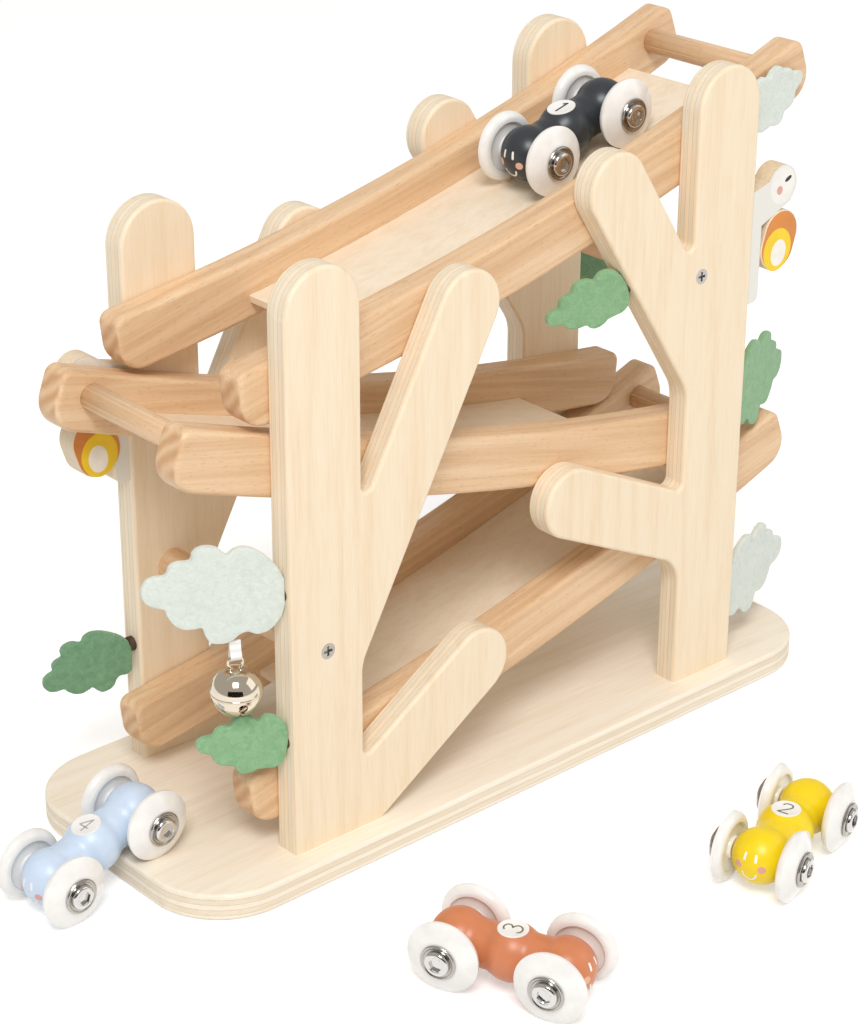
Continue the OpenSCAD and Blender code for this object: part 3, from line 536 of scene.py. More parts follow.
def tidy(piece: bpy.types.Object, sharp: float = 35.0, recalculate: bool = True) -> bpy.types.Object:
    """Merges doubles, turns the faces outwards and shades the mesh smooth up to an angle.

    Args:
        piece: Object with a plain mesh.
        sharp: Angle in degrees above which an edge stays sharp.
        recalculate: Whether the faces are turned outwards.

    Returns:
        The same object.
    """
    shape = bmesh.new()
    shape.from_mesh(piece.data)
    bmesh.ops.remove_doubles(shape, verts=shape.verts, dist=2e-6)
    if recalculate:
        bmesh.ops.recalc_face_normals(shape, faces=shape.faces)
    shape.to_mesh(piece.data)
    shape.free()
    piece.data.shade_smooth()
    piece.data.set_sharp_from_angle(angle=math.radians(sharp))
    return piece


def bake(piece: bpy.types.Object) -> bpy.types.Object:
    """Turns a piece with modifiers into one with a plain mesh.

    Args:
        piece: The piece.

    Returns:
        The same piece.
    """
    bpy.context.view_layer.update()
    evaluated = piece.evaluated_get(bpy.context.evaluated_depsgraph_get())
    mesh = bpy.data.meshes.new_from_object(evaluated)
    mesh.name = piece.name
    old = piece.data
    piece.modifiers.clear()
    piece.data = mesh
    bpy.data.meshes.remove(old)
    return piece


def settle(piece: bpy.types.Object, finish: Finish, *nodes: str, body: str = "") -> None:
    """Gives a piece its finish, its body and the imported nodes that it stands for.

    Args:
        piece: The finished piece.
        finish: Its finish.
        nodes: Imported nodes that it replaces.
        body: Body that it rides on, when it replaces none.
    """
    if not piece.data.materials:
        piece.data.materials.append(finish.material())
    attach(piece, body or body_of(nodes[0]))
    if nodes:
        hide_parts(*nodes)
    LOG.info("%s: %d faces", piece.name, len(piece.data.polygons))


def longest_loops(shape: bmesh.types.BMesh, axis: int) -> list[bmesh.types.BMEdge]:
    """Finds the outline edges of the two outermost flat faces across an axis.

    Args:
        shape: Mesh of a flat piece.
        axis: Number of the axis across the piece.

    Returns:
        Edges of the longest loop on each of the two planes.
    """
    found: list[bmesh.types.BMEdge] = []
    places = [v.co[axis] for v in shape.verts]
    for plane in (min(places), max(places)):
        rim = []
        for edge in shape.edges:
            if len(edge.link_faces) != 2 or any(abs(v.co[axis] - plane) > 2e-5 for v in edge.verts):
                continue
            flat = [abs(f.normal[axis]) > 0.99 for f in edge.link_faces]
            if flat[0] != flat[1]:
                rim.append(edge)
        left = set(rim)
        loops = []
        while left:
            seed = left.pop()
            loop, queue = [seed], [seed]
            while queue:
                for vert in queue.pop().verts:
                    for other in vert.link_edges:
                        if other in left:
                            left.remove(other)
                            loop.append(other)
                            queue.append(other)
            loops.append(loop)
        found += max(loops, key=lambda loop: sum(e.calc_length() for e in loop))
    return found


def join_flat(shape: bmesh.types.BMesh, axis: int) -> None:
    """Joins neighbouring faces of the flat sides, as far as the holes in them allow.

    Args:
        shape: Mesh of a flat piece.
        axis: Number of the axis across the piece.
    """
    flat = [e for e in shape.edges
            if len(e.link_faces) == 2 and all(abs(f.normal[axis]) > 0.9995 for f in e.link_faces)]
    for edge in sorted(flat, key=lambda e: -e.calc_length()):
        if not edge.is_valid or len(edge.link_faces) != 2:
            continue
        first, second = edge.link_faces
        shared = [e for e in first.edges if second in e.link_faces]
        ends = Counter(v for e in shared for v in e.verts)
        one_chain = sum(count == 1 for count in ends.values()) == 2
        if first is not second and one_chain and len(set(first.verts) & set(second.verts)) == len(ends):
            bmesh.utils.face_join([first, second])
    shape.normal_update()


def copied(node: str, name: str) -> bpy.types.Object:
    """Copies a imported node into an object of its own, without its material.

    Args:
        node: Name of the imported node.
        name: Name of the new piece.

    Returns:
        The new piece.
    """
    mesh = frame["nodes"][node].data.copy()
    mesh.materials.clear()
    piece = bpy.data.objects.new(name, mesh)
    bpy.context.scene.collection.objects.link(piece)
    return piece


def softened(node: str, axis: int, radius_mm: float,
             keep: Callable[[Vector], bool] = lambda point: False) -> bpy.types.Object:
    """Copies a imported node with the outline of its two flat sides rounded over.

    Args:
        node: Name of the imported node.
        axis: Number of the axis across the flat piece.
        radius_mm: Radius of the rounding.
        keep: Says which points stay sharp.

    Returns:
        The new piece.
    """
    piece = copied(node, f"{node}_wood")
    shape = bmesh.new()
    shape.from_mesh(piece.data)
    bmesh.ops.remove_doubles(shape, verts=shape.verts, dist=1e-6)
    bmesh.ops.dissolve_limit(shape, angle_limit=math.radians(0.08), verts=shape.verts, edges=shape.edges)
    shape.normal_update()
    join_flat(shape, axis)
    weight = shape.edges.layers.float.new("bevel_weight_edge")
    for edge in longest_loops(shape, axis):
        if not all(keep(v.co) for v in edge.verts):
            edge[weight] = 1.0
    shape.to_mesh(piece.data)
    shape.free()
    rounding = piece.modifiers.new("rounding", "BEVEL")
    rounding.width = radius_mm * MM
    rounding.segments = ROUNDING_FACES
    rounding.limit_method = "WEIGHT"
    rounding.use_clamp_overlap = False
    rounding.loop_slide = False
    bake(piece)
    piece.data.shade_smooth()
    piece.data.set_sharp_from_angle(angle=math.radians(32))
    even = piece.modifiers.new("even_normals", "WEIGHTED_NORMAL")
    even.keep_sharp = True
    return bake(piece)


def smoothed(node: str, name: str, sharp: float = 30.0) -> bpy.types.Object:
    """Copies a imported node, merged and shaded smooth up to an angle in degrees."""
    return tidy(copied(node, name), sharp, recalculate=False)


def turned(profile: Points, segments: int,
           hexagon: Sequence[int] = ()) -> tuple[np.ndarray, list[tuple[int, ...]]]:
    """Turns a profile round the third axis into a closed surface.

    Args:
        profile: Distance from the axis and height of each ring, in order; a distance of zero is a pole.
        segments: Number of faces round the axis.
        hexagon: Numbers of the rings that are hexagons instead of circles.

    Returns:
        Vertices and faces.
    """
    vertices: list[tuple[float, float, float]] = []
    rings: list[list[int]] = []
    for number, (radius, height) in enumerate(profile):
        start = len(vertices)
        if radius == 0:
            vertices.append((0.0, 0.0, height))
            rings.append([start] * segments)
            continue
        for step in range(segments):
            angle = 2 * math.pi * step / segments
            reach = radius
            if number in hexagon:
                reach = radius * math.cos(math.pi / 6) / math.cos((angle % (math.pi / 3)) - math.pi / 6)
            vertices.append((reach * math.cos(angle), reach * math.sin(angle), height))
        rings.append(list(range(start, start + segments)))
    faces = []
    for low, high in zip(rings, rings[1:]):
        for step in range(segments):
            after = (step + 1) % segments
            row = [low[step], low[after], high[after], high[step]]
            row = [v for i, v in enumerate(row) if v not in row[:i]]
            if len(row) > 2:
                faces.append(tuple(row))
    return np.array(vertices), faces


def ways_and_sides(line: np.ndarray) -> tuple[np.ndarray, np.ndarray]:
    """Finds how a flat line runs at each of its points.

    Args:
        line: Points of the line.

    Returns:
        Unit directions along the line, and the ones square to them.
    """
    ways = np.gradient(line, axis=0)
    ways /= np.linalg.norm(ways, axis=1)[:, None]
    return ways, np.stack([-ways[:, 1], ways[:, 0]], 1)


# Stage and camera


@dataclass
class Studio:
    """White table, soft lamps and the camera at the photograph's place.

    Attributes:
        eye_mm: Place of the camera.
        azimuth: Direction of view, in degrees from straight back towards the right.
        elevation: Height of the camera above the horizon, in degrees.
        roll: Turn of the camera round its line of sight, in degrees.
        lens: Focal length for a 36 mm sensor.
    """

    eye_mm: tuple[float, float, float] = (-687.16, -765.24, 586.98)
    azimuth: float = -41.70
    elevation: float = 24.99
    roll: float = 0.258
    lens: float = 90.335

    def camera(self) -> None:
        """Places the camera."""
        azimuth, elevation, roll = (math.radians(v) for v in (self.azimuth, self.elevation, self.roll))
        ahead = Vector((-math.sin(azimuth) * math.cos(elevation), math.cos(azimuth) * math.cos(elevation),
                        -math.sin(elevation)))
        right = ahead.cross(Vector((0, 0, 1))).normalized()
        up = right.cross(ahead)
        right, up = right * math.cos(roll) + up * math.sin(roll), up * math.cos(roll) - right * math.sin(roll)
        data = bpy.data.cameras.new("camera")
        data.lens = self.lens
        data.sensor_width = 36
        data.clip_start = 0.05
        data.clip_end = 20
        camera = bpy.data.objects.new("camera", data)
        bpy.context.scene.collection.objects.link(camera)
        view = Matrix((right, up, -ahead)).transposed().to_4x4()
        camera.matrix_world = Matrix.Translation(Vector(self.eye_mm) * MM) @ view
        bpy.context.scene.camera = camera

    def table(self) -> None:
        """Lays the white table that fades into the background."""
        side, low = 6.0, -0.0003
        corners = [(-side, -side, low), (side, -side, low), (side, side, low), (-side, side, low)]
        floor = mesh_object("studio_table", corners, [(0, 1, 2, 3)])
        made = bpy.data.materials.new("white_table")
        tree = fresh_nodes(made)
        path = add(tree, "ShaderNodeLightPath")
        seen = add(tree, "ShaderNodeMath", {"operation": "MAXIMUM"},
                   {0: path.outputs["Is Camera Ray"], 1: path.outputs["Is Glossy Ray"]})
        seen = add(tree, "ShaderNodeMath", {"operation": "MAXIMUM"},
                   {0: seen.outputs[0], 1: path.outputs["Is Transmission Ray"]})
        glow = add(tree, "ShaderNodeEmission", {"Color": (1, 1, 1, 1), "Strength": 0.42})
        paper = add(tree, "ShaderNodeBsdfDiffuse", {"Color": linear("#EDEDED")})
        both = add(tree, "ShaderNodeAddShader", links={0: glow.outputs[0], 1: paper.outputs[0]})
        mixed = add(tree, "ShaderNodeMixShader",
                    links={0: seen.outputs[0], 1: paper.outputs[0], 2: both.outputs[0]})
        add(tree, "ShaderNodeOutputMaterial", links={0: mixed.outputs[0]})
        floor.data.materials.append(made)

    def lamp(self, name: str, place: tuple[float, float, float], size: float, power: float) -> None:
        """Adds a square soft lamp that faces the toy.

        Args:
            name: Name of the lamp.
            place: Its place, in metres.
            size: Length of its sides, in metres.
            power: Its power in watts.
        """
        data = bpy.data.lights.new(name, "AREA")
        data.size = size
        data.energy = power
        lamp = bpy.data.objects.new(name, data)
        bpy.context.scene.collection.objects.link(lamp)
        lamp.location = place
        lamp.rotation_euler = (Vector((0, 0, 0.12)) - Vector(place)).to_track_quat("-Z", "Y").to_euler()

    def dark_card(self) -> None:
        """Stands a dark card beside the camera, which only the polished metal sees."""
        corners = [(-1.9, -0.5, 0.05), (-0.4, -1.9, 0.05), (-0.4, -1.9, 0.75), (-1.9, -0.5, 0.75)]
        card = mesh_object("dark_card", corners, [(0, 1, 2, 3)])
        made = bpy.data.materials.new("dark_card")
        tree = fresh_nodes(made)
        felt = add(tree, "ShaderNodeBsdfDiffuse", {"Color": linear("#2B2A2A")})
        add(tree, "ShaderNodeOutputMaterial", links={0: felt.outputs[0]})
        card.data.materials.append(made)
        card.visible_camera = False
        card.visible_diffuse = False
        card.visible_shadow = False
        card.visible_transmission = False

    def world(self) -> None:
        """Sets the even surrounding light and the white background."""
        world = bpy.data.worlds.new("studio_room")
        bpy.context.scene.world = world
        tree = fresh_nodes(world)
        path = add(tree, "ShaderNodeLightPath")
        seen = add(tree, "ShaderNodeMath", {"operation": "MAXIMUM"},
                   {0: path.outputs["Is Camera Ray"], 1: path.outputs["Is Transmission Ray"]})
        room = add(tree, "ShaderNodeBackground", {"Color": linear("#F7F4EF"), "Strength": 0.56})
        white = add(tree, "ShaderNodeBackground", {"Color": (1, 1, 1, 1), "Strength": 1.0})
        mixed = add(tree, "ShaderNodeMixShader",
                    links={0: seen.outputs[0], 1: room.outputs[0], 2: white.outputs[0]})
        add(tree, "ShaderNodeOutputWorld", links={0: mixed.outputs[0]})

    def build(self) -> None:
        """Sets up the whole studio."""
        self.camera()
        self.table()
        self.dark_card()
        self.world()
        self.lamp("key_lamp", (-1.2, -1.3, 2.2), 1.0, 44)
        self.lamp("fill_lamp", (1.6, -1.4, 1.2), 1.6, 7)
        bpy.context.scene.view_settings.view_transform = "Standard"


# Woodwork


@dataclass
class Woodwork:
    """Base, trees, rails, bars and dowels.

    Attributes:
        tree_rounding: Radius of the rounding of the trees' edges, in millimetres.
        base_rounding: Radius of the rounding of the base's edges.
        rail_rounding: Radius of the rounding of the rails' edges.
        base_thickness: Thickness of the base.
        slopes: Mean slope of each ramp's grain, in degrees.
    """

    tree_rounding: float = 1.5
    base_rounding: float = 1.4
    rail_rounding: float = 2.2
    base_thickness: float = 12.0
    slopes: dict[str, float] = field(default_factory=lambda: {"top": 13.7, "middle": -13.1, "bottom": 13.7})

    def base(self) -> None:
        """Rounds the base's rim."""
        settle(softened("base_plate", 2, self.base_rounding), BASE_PLY, "base_plate")

    def trees(self) -> None:
        """Rounds the four trees, but for the edges that stand on the base."""
        foot = self.base_thickness * MM + 2e-5
        for node in ("front_left_tree", "front_right_tree", "back_left_tree", "back_right_tree"):
            piece = softened(node, 1, self.tree_rounding, keep=lambda point: point.z < foot)
            settle(piece, TREE_PLY, node)

    def ramps(self) -> None:
        """Rounds the six rails and dresses the stop bars."""
        for ramp, slope in self.slopes.items():
            beech = Beech(f"beech_{ramp}_ramp", "beech", slope)
            for side in ("front", "back"):
                node = f"{ramp}_{side}_rail"
                settle(softened(node, 1, self.rail_rounding), beech, node)
            settle(smoothed(f"{ramp}_stop_bar", f"{ramp}_stop_bar_wood"), BAR_BEECH, f"{ramp}_stop_bar")

    def dowels(self) -> None:
        """Dresses the cross dowels and the wood screws."""
        for node in ("left_cross_dowel", "right_cross_dowel"):
            settle(smoothed(node, f"{node}_wood"), BAR_BEECH, node)
        for node in ("dowel_screws", "base_screws"):
            settle(smoothed(node, f"{node}_steel"), ZINC, node)

    def build(self) -> None:
        """Builds all the woodwork."""
        self.base()
        self.trees()
        self.ramps()
        self.dowels()


@dataclass(frozen=True)
class RampFloor:
    """Curved plywood floor between two rails, swept along the ramp's arc by Geometry Nodes.

    Attributes:
        node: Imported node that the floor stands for.
        centre_mm: Middle of the arc, across and up.
        slope: Slope of the ramp at its low end, in degrees.
        mirrored: Whether the ramp rises to the left.
        arc_mm: Radius of the rails' top edges.
        run_mm: Reach of the ramp from end to end, across.
        low_gap_mm: Length left free at the low end, where the cars drop.
        high_gap_mm: Length left free at the high end.
        reach_mm: Distance of the sheet's middle from the middle of the arc.
        width_mm: Width of the sheet.
        thickness_mm: Thickness of the sheet.
        rounding_mm: Radius of the rounding of its edges.
    """

    node: str
    centre_mm: tuple[float, float]
    slope: float
    mirrored: bool = False
    arc_mm: float = 1284.5
    run_mm: float = 314.1
    low_gap_mm: float = 65.0
    high_gap_mm: float = 33.1
    reach_mm: float = 1300.5
    width_mm: float = 73.0
    thickness_mm: float = 3.0
    rounding_mm: float = 0.4

    def span(self) -> tuple[float, float]:
        """Gives the angles of the sheet's two ends from straight down, in degrees."""
        degrees = math.degrees(1 / self.arc_mm)
        high = math.degrees(math.asin(self.run_mm / self.arc_mm + math.sin(math.radians(self.slope))))
        start, end = self.slope + self.low_gap_mm * degrees, high - self.high_gap_mm * degrees
        return (-end, -start) if self.mirrored else (start, end)

    def tree(self) -> bpy.types.NodeTree:
        """Makes the node tree that sweeps a rounded strip along an arc."""
        found = bpy.data.node_groups.get("ramp_floor_sweep")
        if found is not None:
            return found
        tree = new_tree("ramp_floor_sweep", Reach="Float", Start="Float", Sweep="Float", Width="Float",
                        Thickness="Float", Rounding="Float", Middle="Vector", Finish="Material")
        given = add(tree, "NodeGroupInput")
        arc = add(tree, "GeometryNodeCurveArc", {"mode": "RADIUS", "Resolution": 64},
                  {"Radius": given.outputs["Reach"], "Start Angle": given.outputs["Start"],
                   "Sweep Angle": given.outputs["Sweep"]})
        normal = add(tree, "GeometryNodeSetCurveNormal", {"mode": "Z_UP"}, {0: arc.outputs[0]})
        section = add(tree, "GeometryNodeCurvePrimitiveQuadrilateral", {"mode": "RECTANGLE"},
                      {"Width": given.outputs["Thickness"], "Height": given.outputs["Width"]})
        rounded = add(tree, "GeometryNodeFilletCurve", {"mode": "POLY", "Count": 3},
                      {0: section.outputs[0], "Radius": given.outputs["Rounding"]})
        sheet = add(tree, "GeometryNodeCurveToMesh", {"Fill Caps": True},
                    {0: normal.outputs[0], 1: rounded.outputs[0]})
        upright = add(tree, "GeometryNodeTransform", {"Rotation": (math.pi / 2, 0, 0)}, {0: sheet.outputs[0]})
        placed = add(tree, "GeometryNodeTransform",
                     links={0: upright.outputs[0], "Translation": given.outputs["Middle"]})
        finish_tree(tree, placed, given)
        return tree

    def build(self) -> None:
        """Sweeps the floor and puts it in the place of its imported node."""
        start, end = self.span()
        piece = grown(f"{self.node}_wood", self.tree(), {
            "Reach": self.reach_mm * MM, "Start": math.radians(start - 90),
            "Sweep": math.radians(end - start), "Width": self.width_mm * MM,
            "Thickness": self.thickness_mm * MM, "Rounding": self.rounding_mm * MM,
            "Middle": (self.centre_mm[0] * MM, 0.0, self.centre_mm[1] * MM), "Finish": FLOOR_PLY.material()})
        tidy(piece, 25)
        settle(piece, FLOOR_PLY, self.node)


def new_tree(name: str, **inputs: str) -> bpy.types.NodeTree:
    """Makes a Geometry Nodes tree with one output for its geometry.

    Args:
        name: Name of the tree.
        inputs: Kind of socket for each input's name.

    Returns:
        The tree, still without nodes.
    """
    tree = bpy.data.node_groups.new(name, "GeometryNodeTree")
    for label, kind in inputs.items():
        tree.interface.new_socket(label, in_out="INPUT", socket_type=f"NodeSocket{kind}")
    tree.interface.new_socket("Geometry", in_out="OUTPUT", socket_type="NodeSocketGeometry")
    return tree


def finish_tree(tree: bpy.types.NodeTree, last: bpy.types.Node, given: bpy.types.Node) -> None:
    """Ends a tree with real instances, the finish that its input gives, and the output.

    Args:
        tree: The tree.
        last: Node whose first output is the geometry.
        given: Node of the tree's inputs.
    """
    real = add(tree, "GeometryNodeRealizeInstances", links={0: last.outputs[0]})
    dressed = add(tree, "GeometryNodeSetMaterial",
                  links={0: real.outputs[0], "Material": given.outputs["Finish"]})
    add(tree, "NodeGroupOutput", links={0: dressed.outputs[0]})


def grown(name: str, tree: bpy.types.NodeTree, values: dict[str, object]) -> bpy.types.Object:
    """Makes a plain mesh piece from a Geometry Nodes tree.

    Args:
        name: Name of the new piece.
        tree: Tree that makes its geometry.
        values: Value for each input's name, set by the identifier of its socket.

    Returns:
        The new piece, without its modifier.
    """
    piece = mesh_object(name, [(0, 0, 0)], [])
    modifier = piece.modifiers.new("growth", "NODES")
    modifier.node_group = tree
    for item in tree.interface.items_tree:
        if item.item_type == "SOCKET" and item.in_out == "INPUT":
            modifier[item.identifier] = values[item.name]
    return bake(piece)


# Leaves

# Outlines of the two leaf shapes, as shares of the length along and across
LARGE_OUTLINE = [
    (-0.016, 0.02), (0.0, 0.10), (0.061, 0.195), (0.187, 0.308), (0.301, 0.358), (0.387, 0.345),
    (0.442, 0.300), (0.524, 0.352), (0.619, 0.355), (0.674, 0.315), (0.690, 0.250), (0.769, 0.237),
    (0.819, 0.205), (0.838, 0.140), (0.908, 0.125), (0.965, 0.095), (0.989, 0.025), (0.966, -0.045),
    (0.90, -0.087), (0.815, -0.106), (0.785, -0.157), (0.733, -0.215), (0.66, -0.248), (0.585, -0.245),
    (0.535, -0.240), (0.503, -0.295), (0.460, -0.344), (0.384, -0.350), (0.317, -0.325), (0.272, -0.280),
    (0.217, -0.257), (0.143, -0.276), (0.061, -0.245), (0.005, -0.165), (-0.017, -0.08),
]
SMALL_OUTLINE = [
    (-0.012, 0.03), (0.0, 0.14), (0.052, 0.250), (0.137, 0.325), (0.248, 0.345), (0.307, 0.312),
    (0.346, 0.284), (0.416, 0.328), (0.525, 0.345), (0.590, 0.315), (0.635, 0.239), (0.723, 0.227),
    (0.778, 0.192), (0.812, 0.125), (0.900, 0.110), (0.962, 0.070), (0.975, 0.013), (0.935, -0.047),
    (0.85, -0.076), (0.797, -0.102), (0.768, -0.159), (0.708, -0.205), (0.62, -0.222), (0.548, -0.229),
    (0.506, -0.285), (0.437, -0.322), (0.342, -0.308), (0.281, -0.276), (0.174, -0.270), (0.087, -0.262),
    (0.012, -0.200), (-0.010, -0.10),
]


@dataclass
class Leaf:
    """Felt leaf cut to an oak leaf's outline, glued upright to the half-cut end of a peg.

    Attributes:
        node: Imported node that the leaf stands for.
        felt: Its felt.
        edge_mm: Place of its peg on the tree's edge.
        side: Minus one where it points to the left, one to the right.
        swing: Turn towards the back, in degrees.
        tilt: Rise of its tip, in degrees.
        length_mm: Length of the leaf.
        outline: Outline as shares of the length.
        gap_mm: Gap between the leaf and the tree.
        lean: Lean of the edge from upright, in degrees.
        thickness_mm: Thickness of the felt.
        wave_mm: Size of the waves of the sheet.
        wave_depth_mm: Depth of the waves.
        fuzz_mm: Depth of the uneven face of the felt.
    """

    node: str
    felt: Felt
    edge_mm: tuple[float, float, float]
    side: int
    swing: float
    tilt: float
    length_mm: float
    outline: Sequence[tuple[float, float]]
    gap_mm: float = 0.4
    lean: float = 0.0
    thickness_mm: float = 3.0
    wave_mm: float = 14.0
    wave_depth_mm: float = 0.55
    fuzz_mm: float = 0.10

    def rim(self) -> np.ndarray:
        """Gives the smooth closed outline in millimetres, before tilt."""
        points = np.array(self.outline)
        count = len(points)
        dense = []
        for i in range(count):
            p0, p1, p2, p3 = (points[(i + k) % count] for k in (-1, 0, 1, 2))
            for t in np.linspace(0, 1, 6, endpoint=False):
                dense.append(0.5 * (2 * p1 + (p2 - p0) * t + (2 * p0 - 5 * p1 + 4 * p2 - p3) * t * t
                                    + (3 * p1 - p0 - 3 * p2 + p3) * t ** 3))
        return np.array(dense) * self.length_mm

    def place(self, along: float, up: float, out: float) -> Vector:
        """Puts a point of the leaf in the toy's frame.

        Args:
            along: Distance along the leaf from its foot, in millimetres.
            up: Distance across the leaf, upwards.
            out: Distance from the face that lies on the peg, towards the front.

        Returns:
            The point in metres.
        """
        swing, tilt = math.radians(self.swing), math.radians(self.tilt)
        start = self.gap_mm / math.cos(swing) - 0.015 * self.length_mm
        a, b = along + start, up
        a, b = a * math.cos(tilt) - b * math.sin(tilt), a * math.sin(tilt) + b * math.cos(tilt)
        a = max(a, (self.gap_mm + 0.02 + out * math.sin(-swing)) / math.cos(swing))
        local = Vector((self.side * (a * math.cos(swing) + out * math.sin(swing)),
                        a * math.sin(swing) - out * math.cos(swing), b))
        local = Matrix.Rotation(math.radians(-self.lean), 3, "Y") @ local
        return (Vector(self.edge_mm) + local) * MM

    def build(self) -> None:
        """Makes the leaf as one closed sheet with soft edges and a faint wave."""
        rim = self.rim()
        middle = np.array([0.46 * self.length_mm, 0.0])
        half = self.thickness_mm / 2
        # Rings from the rim inwards: share of the outline's size, and how far the ring's edge is rounded off
        steps = [(1.0, 1.0), (0.985, 0.45), (0.95, 0.16), (0.88, 0.03), (0.76, 0.0), (0.62, 0.0), (0.47, 0.0),
                 (0.32, 0.0), (0.17, 0.0)]
        vertices: list[Vector] = []
        rings: list[list[int]] = []
        seed = Vector((sum(map(ord, self.node)) % 97, 3.1, 7.7))

        def height(x: float, y: float) -> float:
            """Gives the wave of the sheet at a place."""
            return noise.noise(Vector((x / self.wave_mm, y / self.wave_mm, 0)) + seed) * self.wave_depth_mm

        for face in (1, -1):
            for number, (step, drop) in enumerate(steps):
                if face < 0 and number == 0:
                    continue
                ring = []
                for x, y in (middle + (rim - middle) * step):
                    level = half + face * half * math.sqrt(max(1 - drop ** 2, 0)) + height(x, y)
                    fuzz = self.fuzz_mm * noise.noise(Vector((x * 1.3, y * 1.3, face * 5.0)) + seed)
                    ring.append(len(vertices))
                    vertices.append(self.place(x, y, level + fuzz))
                rings.append(ring)
            level = half + face * half + height(*middle)
            rings.append([len(vertices)])
            vertices.append(self.place(*middle, level))
        count = len(rim)
        top, bottom = rings[: len(steps) + 1], [rings[0]] + rings[len(steps) + 1:]
        faces = []
        for stack, flip in ((top, False), (bottom, True)):
            for outer, inner in zip(stack, stack[1:]):
                for i in range(count):
                    j = (i + 1) % count
                    row = [outer[i], outer[j]] + (inner if len(inner) == 1 else [inner[j], inner[i]])
                    faces.append(tuple(reversed(row)) if flip else tuple(row))
        piece = mesh_object(f"{self.node}_felt", vertices, faces)
        tidy(piece, 60)
        settle(piece, self.felt, self.node)


def leaves() -> list[Leaf]:
    """Lists the eight leaves."""
    left, right, middle, base = -130.8, 130.8, 52.5, 12.0
    # Lower edge of the front right tree's tall branch, at the height of its leaf: the branch is 32 mm wide,
    # and the middle of its tip is 248 mm over the base and 66 mm from the trunk's middle at 112.3 mm
    lean, half, height = math.radians(33), 16, 202
    run = (248 - half * math.sin(lean) - height) / math.cos(lean)
    branch = 112.3 - 66 - half * math.cos(lean) + run * math.sin(lean)
    return [
        Leaf("front_left_high_leaf", PALE_FELT, (left, -middle, base + 118.5), -1, 22, 10, 59, LARGE_OUTLINE),
        Leaf("front_left_low_leaf", MID_FELT, (left, -middle, base + 52), -1, 22, 8, 39, SMALL_OUTLINE),
        Leaf("back_left_leaf", DARK_FELT, (left, middle, base + 55), -1, 22, -20, 41, LARGE_OUTLINE, 2.2),
        Leaf("front_right_branch_leaf", MID_FELT, (branch, -middle, base + height), -1, 22, 13, 39,
             SMALL_OUTLINE, lean=33),
        Leaf("front_right_high_leaf", PALE_FELT, (right, -middle, base + 263), 1, 8, 15, 39, SMALL_OUTLINE),
        Leaf("front_right_middle_leaf", MID_FELT, (right, -middle, base + 132.5), 1, 22, -3.5, 59,
             LARGE_OUTLINE),
        Leaf("front_right_low_leaf", PALE_FELT, (right, -middle, base + 34), 1, 16, 0, 59, LARGE_OUTLINE),
        Leaf("back_right_leaf", DARK_FELT, (right, middle, base + 165), 1, -8, 0, 59, LARGE_OUTLINE),
    ]


# Snails


